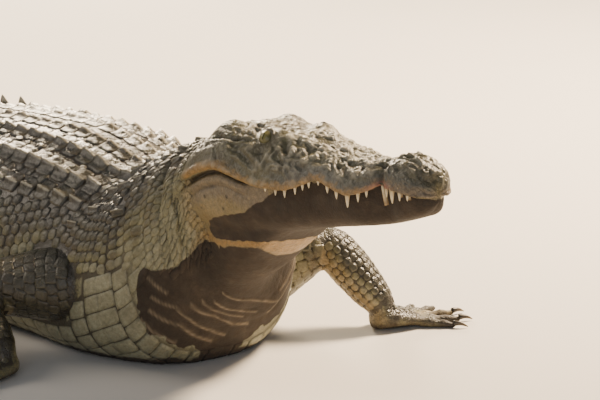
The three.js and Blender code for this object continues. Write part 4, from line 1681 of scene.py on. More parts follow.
@dataclass
class LegSheet(Sheet):
    """The hide round one length of a leg, seen from its middle line."""

    limb: Limb | None = None
    step: float = 4.0  # millimetres from row to row along the line it is seen from

    @classmethod
    def round_axis(
        cls, limb: Limb, tree: BVHTree, start: Array, finish: Array, rows: int
    ) -> "LegSheet":
        """Looks outward from a line to the hide all round it.

        Args:
            limb: The leg.
            tree: Its flesh.
            start: Where the line starts, in millimetres.
            finish: Where it ends.
            rows: How many rings are looked at.

        Returns:
            The sheet.
        """
        forward = unit(finish - start)
        left = unit(np.cross((0, 0, 1.0), forward))
        up = np.cross(forward, left)
        angle = np.arange(LEG_COLUMNS) * 2 * math.pi / LEG_COLUMNS
        points = np.empty((rows, LEG_COLUMNS, 3))
        normals = np.empty((rows, LEG_COLUMNS, 3))
        for row, t in enumerate(np.linspace(0, 1, rows)):
            centre = start + t * (finish - start)
            for column, turn in enumerate(angle):
                ray = math.cos(turn) * left + math.sin(turn) * up
                hit, normal, _, _ = tree.ray_cast(Vector(centre), Vector(ray), 220)
                missed = hit is None
                points[row, column] = centre if missed else hit
                normals[row, column] = -ray if missed else normal
        return cls(points, normals, limb, float(np.linalg.norm(finish - start)) / (rows - 1))

    def is_torn(self, row: float, column: float, reach: float) -> bool:
        """Says whether the sheet leaps from one surface to another near a place.

        Args:
            row: The place along the sheet.
            column: The place round it.
            reach: How far round the place is looked at, in millimetres.

        Returns:
            Whether a scale there would be stretched over a gap.
        """
        along, across = (float(value) for value in self.pitch(row, column))
        rows = row + reach / along * np.array((0.0, 1.0, -1.0, 0.0, 0.0))
        columns = column + reach / across * np.array((0.0, 0.0, 0.0, 1.0, -1.0))
        ends, normals = self.sample(rows, columns)
        far = float(np.linalg.norm(ends[1:] - ends[0], axis=1).max())
        bent = float((normals[1:] @ normals[0]).min()) < 0.3
        return along > 2.5 * self.step or far > 1.5 * reach or bent

    def faces_out(self, row: float, column: float) -> bool:
        """Says whether a place lies on this length itself and not on its neighbour.

        Args:
            row: A row of the sheet.
            column: A column of the sheet.

        Returns:
            Whether it does.
        """
        point, normal = self.sample(np.array([row]), np.array([column]))
        centre, _ = self.limb.nearest_axis(point)
        return bool(unit(point - centre)[0] @ normal[0] > 0.62)

    def marks(self, points: Array, rows: Array, columns: Array) -> dict[Mark, Array]:
        """The marks that scales carry at some places."""
        return Markings.leg(points, self.limb)

    def bake_place(self, row: Array, column: Array) -> tuple[Array, Array]:
        """Where places lie on the hide's unwrap."""
        points, _ = self.sample(row, column)
        return self.limb.unwrap(points)


def body_unwrap(along: Array, around: Array) -> tuple[Array, Array]:
    """Lays trunk, tail, neck and head on the lower part of the hide's unwrap."""
    return np.asarray(around), 0.002 + 0.84 * np.asarray(along)


# ---------------------------------------------------------------- scales


@dataclass(frozen=True)
class ScaleKind:
    """What one kind of horny scale is like, whatever its size."""

    net: int = 7  # points along each side of its net
    squareness: float = 4.0  # 2 is an oval
    shoulder: float = 0.72  # height of its edge, as a share of its own
    edge: float = 0.9  # how far out the shoulder lies
    ridge: float = 0.0  # half width of its keel, as a share of its own half width
    rake: float = 0.0  # how much higher its rear is than its front
    rough: float = 0.35  # height of the wrinkles on it, in millimetres
    rim: float = 2.5  # how far its rim lies under the hide, in millimetres
    hub: float = 3.0  # and the middle of its underside


@dataclass
class ScaleBed:
    """Scales of one kind laid on a surface, kept as plain lists until they are made."""

    kind: ScaleKind
    rows: list[tuple] = field(default_factory=list)

    def add(
        self,
        place: tuple[float, float],
        half: tuple[float, float],
        height: float,
        keel: float = 0.0,
        turn: float = 0.0,
    ) -> None:
        """Lays one scale.

        Args:
            place: Its middle, as a row and a column of the surface.
            half: Half of its length ahead and of its breadth around, in millimetres.
            height: How far it stands out.
            keel: How much higher its keel stands.
            turn: How far it is turned on the surface, in degrees.
        """
        self.rows.append((*place, *half, height, keel, math.radians(turn)))

    def net(self) -> tuple[Array, Array, list[Array]]:
        """Draws the net of one scale on a square from -1 to 1, with the faces of its closed pad.

        Returns:
            The places across and along the scale, and the groups of faces.
        """
        count = self.kind.net
        inner = np.linspace(-1, 1, count - 2)
        line = np.concatenate([[-1], inner * self.kind.edge, [1]])
        u, v = np.meshgrid(line, line, indexing="ij")
        power = self.kind.squareness
        size = np.maximum(np.abs(u), np.abs(v))
        around = (np.abs(u) ** power + np.abs(v) ** power) ** (1 / power)
        scale = np.where(around > 0, size / np.maximum(around, 1e-9), 1.0)
        index = np.arange(count * count).reshape(count, count)
        a, b, c, d = index[:-1, :-1], index[1:, :-1], index[1:, 1:], index[:-1, 1:]
        quads = np.stack([a, b, c, d], -1).reshape(-1, 4)
        border = np.concatenate([index[:-1, 0], index[-1, :-1], index[:0:-1, -1], index[0, :0:-1]])
        hub = count * count
        fan = np.stack([np.full(len(border), hub), np.roll(border, -1), border], -1)
        net = np.concatenate([np.stack([u * scale, v * scale], -1).reshape(-1, 2), [[0.0, 0.0]]])
        return net, np.append(size.ravel(), 1.0), [quads, fan]

    def make(self, name: str, surface: Sheet) -> bpy.types.Object:
        """Makes all scales of the bed as one piece.

        Args:
            name: The piece's name.
            surface: What they lie on.

        Returns:
            The piece, with its bake map and marks.
        """
        kind = self.kind
        row, column, ahead, across, height, keel, turn = (
            np.array(values, float)[:, None] for values in zip(*self.rows)
        )
        net, size, faces = self.net()
        u, v, size = net[None, :, 0], net[None, :, 1], size[None]
        x = ahead * u * np.cos(turn) - across * v * np.sin(turn)
        y = ahead * u * np.sin(turn) + across * v * np.cos(turn)
        per_row, per_column = surface.pitch(row, column)
        rows, columns = row + x / per_row, column + y / per_column
        base, normal = surface.sample(rows, columns)
        inside = np.clip(1 - size / kind.edge, 0, 1)
        dome = kind.shoulder + (1 - kind.shoulder) * np.sqrt(np.clip(1 - (size / kind.edge) ** 2, 0, 1))
        lift = height * dome
        if kind.ridge:
            crest = np.clip(1 - np.abs(v) / kind.ridge, 0, 1) ** 1.2
            swell = 0.45 + 0.55 * np.clip(0.6 - 0.8 * u, 0, 1)
            lift = lift + keel * crest * swell * (size < 0.99)
        lift = lift * (1 - kind.rake * u)
        wrinkle = Grain.lumps(base, 9.0, 61) + 0.6 * Grain.lumps(base, 5.0, 67)
        lift = lift + kind.rough * wrinkle * (size < kind.edge + 0.01)
        buried = size > kind.edge + 1e-6
        lift = np.where(buried, -kind.rim, lift)
        hub = np.zeros(size.shape[1], bool)
        hub[-1] = True
        lift = np.where(hub[None], -kind.hub, lift)
        points = base + normal * lift[..., None]
        points[..., 2] = np.maximum(points[..., 2], 0.0)
        count, each = row.shape[0], net.shape[0]
        offset = (np.arange(count) * each)[:, None, None]
        groups = [(offset + group[None]).reshape(-1, group.shape[1]) for group in faces]
        flat_rows = np.broadcast_to(rows, (count, each))
        marks = surface.marks(points, rows, columns)
        chance = Grain.chance(np.stack([row[:, 0] * 7, column[:, 0] * 7, ahead[:, 0] * 3], -1), 5)
        # Painted shade and highlight: each scale darkens towards its rim and underside and is palest along
        # its keel.
        high = np.clip(0.3 + 0.45 * inside**0.4, 0, 1) * ~buried
        if kind.ridge:
            high = np.maximum(high, crest * (size < kind.edge))
        marks[Mark.HIGH] = np.where(hub[None], 0, np.broadcast_to(high, flat_rows.shape))
        marks[Mark.TONE] = np.broadcast_to(chance[:, None], flat_rows.shape)
        marks[Mark.FINE] = marks[Mark.FINE] * 0 + 0.25
        root_u, root_v = surface.bake_place(row, column)
        bake = np.stack([root_u + PATCH * v, root_v + PATCH * u], -1).reshape(-1, 2)
        corners = np.concatenate([group.ravel() for group in groups])
        values = {mark.value: data.ravel() for mark, data in marks.items()}
        return make_piece(name, points.reshape(-1, 3), groups, bake[corners], values)


# ---------------------------------------------------------------- the scales of each region


KEELED = ScaleKind(net=13, squareness=6.0, shoulder=0.62, edge=0.95, ridge=0.42, rake=0.14, rough=1.1)
LUMP = ScaleKind(net=8, squareness=2.8, shoulder=0.5, edge=0.9, ridge=0.5, rake=0.15, rough=0.6)
OVAL = ScaleKind(net=7, squareness=2.8, shoulder=0.55, edge=0.9, rough=0.45)
PLATE = ScaleKind(net=8, squareness=9.0, shoulder=0.82, edge=0.96, rough=0.4)

KEEL_ROWS = Profile(  # girth of the middle of each row of keeled scales, and that of its outer edge
    ("at", "one", "two", "three", "four", "edge"),
    (
        (-900, 24, 66, 104, 140, 84),
        (-600, 27, 80, 128, 172, 154),
        (-400, 29, 86, 143, 199, 228),
        (-150, 30, 91, 157, 226, 262),
        (150, 30, 91, 160, 230, 262),
        (300, 29, 86, 149, 200, 226),
        (400, 27, 80, 131, 180, 190),
        (560, 26, 76, 124, 170, 110),
    ),
)
BELLY_EDGE = (  # places, and how far down the side the square plates begin, as a share
    (-640, 434, 533, 577, 604, 640),
    (0.5, 0.5, 0.487, 0.493, 0.525, 0.55),
)
LONE_LUMPS = (  # place, girth and half sizes of the great scales of the nape and shoulders
    (438, 31, 27, 27),
    (438, 88, 27, 27),
    (494, 33, 27, 28),
    (494, 91, 27, 26),
    (466, 142, 21, 19),
    (520, 148, 17, 15),
    (445, 189, 16, 15),
    (555, 209, 15, 13),
    (566, 138, 15, 14),
    (408, 228, 14, 13),
    (640, 22, 16, 12),
    (640, 60, 17, 13),
    (652, 98, 15, 12),
)


@dataclass
class TrunkScales:
    """All scales on tail, trunk and neck."""

    sheet: BodySheet
    trees: list[BVHTree]
    back_front: float = 372.0  # the first row of keeled scutes
    back_rear: float = -640.0
    back_step: float = 51.0
    flank_span: tuple[float, float] = (612.0, -600.0)
    belly_span: tuple[float, float] = (640.0, -640.0)
    neck_span: tuple[float, float] = (622.0, 742.0)
    tail_span: tuple[float, float] = (-668.0, -2405.0)
    keels: tuple[tuple[str, float], ...] = (("one", 7), ("two", 9), ("three", 10), ("four", 8))
    taken: list[tuple[float, float, float, float, int]] = field(default_factory=list)
    table: Array | None = None

    def lay(self, bed: ScaleBed, at: float, girth: float, side: int, half: tuple, **shape: float) -> None:
        """Lays one scale on a side of the body unless a leg grows there.

        Args:
            bed: The scales it joins.
            at: Its place along the body.
            girth: How far down the side it is.
            side: 1 on the left, -1 on the right.
            half: Its half sizes along and round the body.
            shape: Its height, keel and turn.
        """
        place = self.sheet.place(at, girth, side)
        half = (half[0] * self.stretch(at, place), half[1])
        point, _ = self.sheet.sample(np.array([place[0]]), np.array([place[1]]))
        if point[0, 2] < LOWEST_SCALE or self.in_leg(point[0], max(half)):
            return
        if "turn" in shape:
            shape["turn"] *= side
        bed.add(place, half, **shape)

    def stretch(self, at: float, place: tuple[float, float]) -> float:
        """Says how many millimetres of hide one millimetre along the body makes at a place.

        Args:
            at: The place along the body.
            place: Its row and column.

        Returns:
            The number of millimetres, within reason.
        """
        station = self.sheet.form.station
        low, high = np.interp((at - 6, at + 6), station, np.arange(len(station)))
        ends, _ = self.sheet.sample(np.array((low, high)), np.full(2, place[1]))
        return float(np.clip(np.linalg.norm(ends[1] - ends[0]) / 12, 0.55, 2.2))

    def in_leg(self, point: Array, reach: float) -> bool:
        """Says whether a leg covers a place or comes close to it.

        Args:
            point: The place.
            reach: The larger half size of the scale there.

        Returns:
            Whether it does.
        """
        for tree in self.trees:
            place, normal, _, distance = tree.find_nearest(Vector(point), 60)
            if place is None:
                continue
            if (Vector(point) - place).dot(normal) < 0 or distance < min(reach * 0.4, 7):
                return True
        return False

    def claim(self, at: float, girth: float, half: tuple[float, float], side: int) -> None:
        """Notes the ground that a large scale covers."""
        self.taken.append((at, girth, half[0], half[1], side))

    def is_free(self, at: float, girth: float, half: float, side: int) -> bool:
        """Says whether a small scale has room beside the large ones.

        Args:
            at: Its place along the body.
            girth: How far down the side it is.
            half: Its half size.
            side: 1 on the left, -1 on the right.

        Returns:
            Whether it has.
        """
        table = np.array(self.taken) if self.table is None else self.table
        ahead = np.abs(table[:, 0] - at) / (table[:, 2] + half * 0.8)
        aside = np.abs(table[:, 1] - girth) / (table[:, 3] + half * 0.8)
        near = (ahead**3 + aside**3 < 1) & (table[:, 4] == side)
        return not bool(near.any())

    def back(self) -> bpy.types.Object:
        """Keeled scutes in rows across and along the back, with those of the nape.

        Returns:
            The scutes as one piece.
        """
        bed = ScaleBed(KEELED)
        for step in range(int((self.back_front + 20 - self.back_rear) / self.back_step)):
            at = self.back_front - step * self.back_step
            edge = float(KEEL_ROWS.read("edge", at))
            for side in SIDES:
                for name, keel in self.keels:
                    girth = float(KEEL_ROWS.read(name, at))
                    if girth > edge:
                        continue
                    chance = self.chance(at, girth, side)
                    wide = (29.5 if name != "four" else 25) * (0.95 + 0.08 * chance)
                    along = (25.0 if name != "four" else 22) * (0.95 + 0.07 * chance)
                    wide *= float(mix(1, 0.86, smooth_step(-300, -600, at)))
                    half = (along, wide)
                    self.lay(
                        bed, at + 5 * (chance - 0.5), girth, side, half,
                        height=3.4, keel=keel * (0.8 + 0.5 * chance), turn=4 * (chance - 0.5),
                    )
                    self.claim(at, girth, half, side)
        for at, girth, along, wide in LONE_LUMPS:
            for side in SIDES:
                half = (along, wide)
                self.lay(bed, at, girth, side, half, height=4.2, keel=0.5 * wide, turn=-6.0)
                self.claim(at, girth, half, side)
        return self.finish(bed, "back_scutes")

    def flanks(self) -> bpy.types.Object:
        """Low oval scales in slanting rows on the sides, the larger ones with a blunt keel.

        Returns:
            The scales as one piece.
        """
        bed = ScaleBed(LUMP)
        self.table = np.array(self.taken)
        at, end = self.flank_span
        row = 0
        while at > end:
            front = float(smooth_step(360, 560, at))
            pitch = float(mix(23.5, 19.5, front))
            top = 50.0 if at < 396 else mix(50, 10, smooth_step(560, 600, at))
            for line in range(24):
                for side in SIDES:
                    girth = top + (line + 0.5 * (row % 2)) * mix(25.5, 19.5, front)
                    if girth > self.belly_edge(at) - 4:
                        continue
                    chance = self.chance(at, girth, side)
                    place = at + 6 * (chance - 0.5) + 4 * math.sin(girth * 0.05)
                    size = pitch * (0.475 + 0.1 * chance)
                    if not self.is_free(place, girth, 3.5 if girth < 260 else 6, side):
                        continue
                    self.lay(
                        bed, place, girth, side, (size, size * mix(1.14, 1.0, front)),
                        height=2.0 + 1.6 * chance, keel=2.4 * chance, turn=24 * (chance - 0.3),
                    )
            at -= pitch * 0.92
            row += 1
        return self.finish(bed, "flank_scales")

    def belly_edge(self, at: float) -> float:
        """How far down the side the square plates of the belly begin."""
        return float(self.sheet.half_girth(at) * np.interp(at, *BELLY_EDGE))

    def belly(self) -> bpy.types.Object:
        """Square plates in straight rows across the belly, chest and lower neck.

        Returns:
            The plates as one piece.
        """
        bed = ScaleBed(PLATE)
        at, end = self.belly_span
        while at > end:
            pitch = float(mix(42.0, 31.0, smooth_step(430, 560, at)))
            at -= pitch
            start = self.belly_edge(at)
            whole = self.sheet.half_girth(at)
            wide = 37.0 if at < 480 else 33.0
            count = int((whole - start) / wide)
            for line in range(count):
                for side in SIDES:
                    girth = start + (line + 0.5) * (whole - start) / count
                    place = at + 7 * (line - 2) / max(count, 3)
                    chance = self.chance(place, girth, side)
                    half = (0.492 * pitch, 0.492 * (whole - start) / count)
                    if place > 592 and girth / whole > float(MUD_EDGE.read("share", place)):
                        continue
                    turn = 4 * (chance - 0.5)
                    self.lay(bed, place, girth, side, half, height=1.7 + 0.7 * chance, turn=turn)
        return self.finish(bed, "belly_scales")

    def neck(self) -> bpy.types.Object:
        """Rounded scales of the neck, smaller and longer towards the head.

        Returns:
            The scales as one piece.
        """
        bed = ScaleBed(OVAL)
        at, end = self.neck_span
        row = 0
        while at < end:
            far = float(smooth_step(600, 740, at))
            pitch = float(mix(16.5, 12.0, far))
            for line in range(40):
                for side in SIDES:
                    girth = 6 + (line + 0.5 * (row % 2)) * pitch * 0.98
                    whole = self.sheet.half_girth(at)
                    if girth / whole > float(MUD_EDGE.read("share", at)) + 0.01:
                        continue
                    chance = self.chance(at, girth, side)
                    place = at + 5 * (chance - 0.5)
                    if not self.is_free(place, girth, 6, side):
                        continue
                    big = 0.48 + 0.1 * chance
                    half = (pitch * big, pitch * big * 0.97)
                    turn = 40 * (chance - 0.5)
                    self.lay(bed, place, girth, side, half, height=2.0 + 1.3 * chance, turn=turn)
            at += pitch * 0.9
            row += 1
        return self.finish(bed, "neck_scales")

    def tail(self) -> bpy.types.Object:
        """Oblong plates in rings round the tail.

        Returns:
            The plates as one piece.
        """
        bed = ScaleBed(PLATE)
        at, end = self.tail_span
        while at > end:
            whole = self.sheet.half_girth(at)
            shrink = float(smooth_step(-2500, -900, at))
            pitch = mix(34, 50, shrink)
            wide = mix(15, 34, shrink)
            count = max(3, int(whole / wide))
            for line in range(count):
                for side in SIDES:
                    girth = (line + 0.5) * whole / count
                    chance = self.chance(at, girth, side)
                    half = (0.485 * pitch, 0.488 * whole / count)
                    self.lay(bed, at, girth, side, half, height=1.8 + 0.8 * chance, turn=2 * (chance - 0.5))
            at -= pitch
        return self.finish(bed, "tail_scales")

    @staticmethod
    def chance(at: float, girth: float, side: int) -> float:
        """A number from 0 to 1 that belongs to one scale."""
        return float(Grain.chance(np.array([round(at), round(girth), side + 3]), 77))

    def finish(self, bed: ScaleBed, name: str) -> bpy.types.Object:
        """Makes the scales of one region.

        Args:
            bed: The scales.
            name: The name of the piece.

        Returns:
            The piece.
        """
        made = bed.make(name, self.sheet)
        LOG.info("%s: %d scales", name, len(bed.rows))
        return made


@dataclass
class LegScales:
    """All scales on the four legs."""

    limbs: tuple[Limb, ...]
    trees: list[BVHTree]
    trunk: BVHTree

    def make(self) -> list[bpy.types.Object]:
        """Makes the scales of every leg, one piece for each.

        Returns:
            The pieces, in the legs' order.
        """
        made = []
        for limb, tree in zip(self.limbs, self.trees):
            beds = [*self.lengths(limb, tree), self.foot(limb, tree)]
            pieces = [
                bed.make(f"{limb.name}_scales_{index}", sheet)
                for index, (bed, sheet) in enumerate(beds)
                if bed.rows
            ]
            made.append(join_pieces(pieces, f"{limb.name}_scales"))
            LOG.info("%s: %d scales", made[-1].name, sum(len(bed.rows) for bed, _ in beds))
        return made

    def lengths(self, limb: Limb, tree: BVHTree) -> list[tuple[ScaleBed, LegSheet]]:
        """Scales on the upper and lower lengths: plates on the upper one, rounded scales on the lower.

        Args:
            limb: The leg.
            tree: Its flesh.

        Returns:
            The scales of each length with the sheet that they lie on.
        """
        axis = limb.axis()
        made = []
        for length in (0, 1):
            sheet = LegSheet.round_axis(limb, tree, axis[length], axis[length + 1], LENGTH_ROWS)
            bed = ScaleBed(PLATE if length == 0 else OVAL)
            run = float(np.linalg.norm(axis[length + 1] - axis[length]))
            pitch = 23.0 if length == 0 else 17.0
            rows = int(run / (pitch * 0.9))
            for step in range(rows + 1):
                t = step / rows
                half = max(limb.half_at(length, t) - limb.inset, 20)
                count = int(2 * math.pi * half / pitch)
                for line in range(count):
                    turn = (line + 0.5 * (step % 2)) / count
                    row, column = t * (LENGTH_ROWS - 1), turn * LEG_COLUMNS
                    if sheet.faces_out(row, column):
                        self.lay(bed, sheet, row, column, pitch)
            made.append((bed, sheet))
        return made

    def lay(self, bed: ScaleBed, sheet: LegSheet, row: float, column: float, pitch: float) -> None:
        """Lays one rounded scale unless the trunk covers its place.

        Args:
            bed: The scales it joins.
            sheet: The sheet it lies on.
            row: Its row there.
            column: Its column there.
            pitch: The distance to the next scale, in millimetres.
        """
        point, _ = sheet.sample(np.array([row]), np.array([column]))
        place, normal, _, distance = self.trunk.find_nearest(Vector(point[0]), 80)
        if place is not None and ((Vector(point[0]) - place).dot(normal) < 0 or distance < 6):
            return
        if point[0, 2] < LOWEST_SCALE or sheet.is_torn(row, column, pitch / 2):
            return
        chance = float(Grain.chance(np.round(point[0] / 2), 78))
        size = pitch * (0.47 + 0.11 * chance)
        bed.add((row, column), (size, size * 0.98), 0.9 + 1.1 * chance, 0.0, 50 * (chance - 0.5))

    def foot(self, limb: Limb, tree: BVHTree) -> tuple[ScaleBed, LegSheet]:
        """Broad scales across the top of the palm.

        Args:
            limb: The leg.
            tree: Its flesh.

        Returns:
            The scales with the sheet that they lie on.
        """
        sizes = limb.sizes
        start = limb.to_model(np.array((4.0, 0.0, 12.0)))
        finish = limb.to_model(np.array((sizes.palm * 0.86, 0.0, 12.0)))
        sheet = LegSheet.round_axis(limb, tree, start, finish, PALM_ROWS)
        bed = ScaleBed(OVAL)
        pitch = 14.0
        rows = int(sizes.palm * 0.8 / (pitch * 0.9))
        for step in range(rows + 1):
            for line in range(-4, 5):
                across = (line + 0.5 * (step % 2)) * pitch
                if abs(across) > sizes.breadth * 0.9:
                    continue
                turn = math.atan2(sizes.depth * 1.1, -across) / (2 * math.pi)
                row = step / rows * (PALM_ROWS - 1)
                self.lay(bed, sheet, row, turn * LEG_COLUMNS, pitch)
        return bed, sheet


def join_pieces(pieces: list[bpy.types.Object], name: str) -> bpy.types.Object:
    """Joins several scale pieces into one.

    Args:
        pieces: The pieces, all with the same marks and bake map.
        name: The name of the result.

    Returns:
        The joined piece.
    """
    with bpy.context.temp_override(
        active_object=pieces[0],
        selected_objects=pieces,
        selected_editable_objects=pieces,
    ):
        bpy.ops.object.join()
    pieces[0].name = name
    pieces[0].data.name = name
    return pieces[0]


# ---------------------------------------------------------------- one skin


SENSE_PITS = (  # in the head's own frame, on either side
    (9, 126, -20),
    (-51, 109, -60),
    (71, 119, -19),
    (55, 116, -41),
    (28, 124, -52),
    (-12, 126, -44),
)


@dataclass
class Skin:
    """The one hide over trunk, tail, head and legs."""

    form: HideForm
    limbs: tuple[Limb, ...]
    flesh: list[bpy.types.Object] = field(default_factory=list)
    fillet: float = 0.55  # how freely the creases of the legs even out
    fillet_rounds: int = 8

    def build(self) -> bpy.types.Object:
        """Joins the grid and the legs into one closed skin with marks and a bake map.

        Returns:
            The skin.
        """
        trunk = make_piece("skin", self.form.all_points(), self.form.faces())
        sources = [read_points(trunk.data)]
        for leg in self.flesh:
            sources.append(read_points(leg.data))
            union = trunk.modifiers.new(leg.name, "BOOLEAN")
            union.operation = "UNION"
            union.solver = "MANIFOLD"
            union.object = leg
        apply_modifiers(trunk)
        for leg in self.flesh:
            bpy.data.objects.remove(leg)
        mesh = trunk.data
        points = read_points(mesh)
        owner, index = self.match(points, sources)
        edges = read_edges(mesh)
        soft = self.junction(owner, edges, len(points))
        marks = self.marks(points, owner, index)
        u, v = self.unwrap(points, owner, index)
        for name, values in marks.items():
            marks[name] = relax(values[:, None], edges, 0.8 * soft, 10)[:, 0]
        points = relax(points, edges, self.fillet * soft, self.fillet_rounds)
        points[:, 2] = np.maximum(points[:, 2], 0.0)
        write_points(mesh, points)
        for name, values in marks.items():
            store = mesh.attributes.new(name.value, "FLOAT", "POINT")
            store.data.foreach_set("value", values.astype(np.float32))
        self.write_unwrap(mesh, u, v, owner)
        mesh.shade_smooth()
        return trunk

    @staticmethod
    def match(points: Array, sources: list[Array]) -> tuple[Array, Array]:
        """Finds out which form each point of the joined skin came from.

        Args:
            points: The joined skin's points.
            sources: The points of the trunk and of each leg.

        Returns:
            The number of the form, or -1 for a point that is new, and the point's own number there.
        """
        wanted = place_key(np.round(points * STEPS_PER_MM))
        owner = np.full(len(points), -1)
        index = np.zeros(len(points), int)
        for number, source in enumerate(sources):
            keys = place_key(np.round(source * STEPS_PER_MM))
            order = np.argsort(keys)
            spot = np.clip(np.searchsorted(keys[order], wanted), 0, len(keys) - 1)
            hit = (keys[order][spot] == wanted) & (owner < 0)
            owner[hit] = number
            index[hit] = order[spot][hit]
        return owner, index

    @staticmethod
    def junction(owner: Array, edges: Array, count: int) -> Array:
        """Says how close each point is to where a leg grows out of the trunk, from 0 to 1.

        Args:
            owner: The form that each point comes from.
            edges: Pairs of neighbours.
            count: How many points there are.

        Returns:
            One number for each point.
        """
        soft = (owner < 0) * 1.0
        a, b = edges[:, 0], edges[:, 1]
        mixed = (owner[a] != owner[b]) & (owner[a] >= 0) & (owner[b] >= 0)
        soft[a[mixed]] = 1.0
        soft[b[mixed]] = 1.0
        for _ in range(4):
            spread = soft.copy()
            np.maximum.at(spread, a, soft[b] * 0.8)
            np.maximum.at(spread, b, soft[a] * 0.8)
            soft = spread
        return soft

    def marks(self, points: Array, owner: Array, index: Array) -> dict[Mark, Array]:
        """Works out all marks of the skin.

        Args:
            points: The skin's points.
            owner: The form that each comes from.
            index: Its number in that form.

        Returns:
            The value of each mark at each point.
        """
        form = self.form
        columns = Spread.ROUND
        station = np.full(len(points), -2000.0)
        around = np.full(len(points), 0.5)
        relief = np.zeros(len(points))
        trunk = (owner == 0) & (index < form.points.shape[0] * columns)
        station[trunk] = form.station[index[trunk] // columns]
        around[trunk] = form.around()[index[trunk] % columns]
        relief[trunk] = form.relief.ravel()[index[trunk]]
        station[(owner == 0) & ~trunk & (points[:, 0] > 0)] = form.station[-1]
        made = Markings.body(points, station, around)
        for number, limb in enumerate(self.limbs, 1):
            mine = owner == number
            for mark, values in Markings.leg(points[mine], limb).items():
                made[mark][mine] = values
        fresh = owner < 0
        near = self.nearest_known(points, owner)
        for values in made.values():
            values[fresh] = values[near]
        made[Mark.TONE] = np.full(len(points), 0.42)
        # Painted shade and highlight: on the head and neck the relief of folds and lumps sets the high
        # mark, so folds are painted darker and ridges paler; elsewhere the skin shows only between scales
        # and takes the full painted shade of the seams.
        bare = smooth_step(560, 640, station) * (owner == 0)
        made[Mark.HIGH] = np.clip(bare * (0.55 + 0.095 * relief), 0, 1) * (1 - self.pits(points))
        return made

    @staticmethod
    def uncover(skin: bpy.types.Object, coat: list[bpy.types.Object], cell: float = 5.0) -> None:
        """Lets the hide of body and legs show its own creased surface where no scale lies.

        Args:
            skin: The skin.
            coat: The pieces of scales on it.
            cell: How near a scale has to be to cover a point, in millimetres.
        """
        points = read_points(skin.data)
        scales = np.concatenate([read_points(piece.data) for piece in coat])
        held = np.unique(place_key(np.floor(scales / cell)))
        covered = np.zeros(len(points), bool)
        for step in np.ndindex(3, 3, 3):
            near = points + (np.array(step) - 1) * cell
            covered |= np.isin(place_key(np.floor(near / cell)), held)
        bare = ~covered & (to_head(points)[:, 0] < -110) & (points[:, 2] > 2)
        # Bare skin loses the full painted shade of the seams and shows fine cracks.
        for mark, value in ((Mark.HIGH, 0.56), (Mark.FINE, 0.9)):
            store = skin.data.attributes[mark.value]
            values = np.empty(len(points), np.float32)
            store.data.foreach_get("value", values)
            values[bare] = np.maximum(values[bare], np.float32(value))
            store.data.foreach_set("value", values)
        LOG.info("skin: %d points without scales", int(bare.sum()))

    @staticmethod
    def pits(points: Array) -> Array:
        """The dark sense pits of the cheeks, as 1 in a pit and 0 elsewhere.

        Args:
            points: Places in the head's frame.

        Returns:
            One number for each place.
        """
        local = to_head(points)
        local[:, 1] = np.abs(local[:, 1])
        made = np.zeros(len(points))
        for pit in SENSE_PITS:
            made = np.maximum(made, smooth_step(5.4, 3.2, np.linalg.norm(local - pit, axis=1)))
        return made

    @staticmethod
    def nearest_known(points: Array, owner: Array) -> Array:
        """For each new point, the number of the nearest old one.

        Args:
            points: The skin's points.
            owner: The form that each comes from, -1 for a new one.

        Returns:
            The number of a point for each new point.
        """
        known = np.nonzero(owner >= 0)[0]
        fresh = points[owner < 0]
        if not len(fresh):
            return np.zeros(0, int)
        low, high = fresh.min(0) - 30, fresh.max(0) + 30
        inside = known[np.all((points[known] > low) & (points[known] < high), axis=1)]
        tree = KDTree(len(inside))
        for number in inside:
            tree.insert(points[number], int(number))
        tree.balance()
        return np.array([tree.find(point)[1] for point in fresh])

    def unwrap(self, points: Array, owner: Array, index: Array) -> tuple[Array, Array]:
        """Gives each point its place on the bake map.

        Args:
            points: The skin's points.
            owner: The form that each comes from.
            index: Its number in that form.

        Returns:
            The two coordinates of each on the bake map.
        """
        columns = Spread.ROUND
        rows = self.form.points.shape[0]
        row = np.where(index < rows * columns, index // columns, (index > rows * columns) * (rows - 1))
        u, v = body_unwrap(row / (rows - 1), (index % columns) / columns)
        for number, limb in enumerate(self.limbs, 1):
            mine = owner == number
            u[mine], v[mine] = limb.unwrap(points[mine])
        fresh = owner < 0
        near = self.nearest_known(points, owner)
        u[fresh], v[fresh] = u[near], v[near]
        return u, v

    @staticmethod
    def write_unwrap(mesh: bpy.types.Mesh, u: Array, v: Array, owner: Array) -> None:
        """Writes the bake map, with faces that cross its edges kept whole.

        Args:
            mesh: The skin's mesh.
            u: The first coordinate of each point.
            v: The second one.
            owner: The form that each point comes from.
        """
        loops = len(mesh.loops)
        corner = np.empty(loops, np.int32)
        mesh.loops.foreach_get("vertex_index", corner)
        start = np.empty(len(mesh.polygons), np.int32)
        size = np.empty(len(mesh.polygons), np.int32)
        mesh.polygons.foreach_get("loop_start", start)
        mesh.polygons.foreach_get("loop_total", size)
        face = np.repeat(np.arange(len(start)), size)
        place = np.stack([u[corner], v[corner]], -1)
        high = np.maximum.reduceat(place, start, axis=0)
        low = np.minimum.reduceat(place, start, axis=0)
        wraps = (high[:, 0] - low[:, 0] > 0.5) & (high[:, 1] < 0.85)
        place[:, 0] += wraps[face] & (place[:, 0] < 0.5)
        torn = (high[:, 1] > 0.85) & ((high[:, 0] - low[:, 0] > 0.1) | (low[:, 1] < 0.85))
        first = place[start][face]
        place = np.where(torn[face][:, None], first + 0.0005 * (place - first), place)
        layer = mesh.uv_layers.new(name=UV_MAP)
        layer.data.foreach_set("uv", place.astype(np.float32).ravel())


# ---------------------------------------------------------------- crest, teeth, claws and eyes


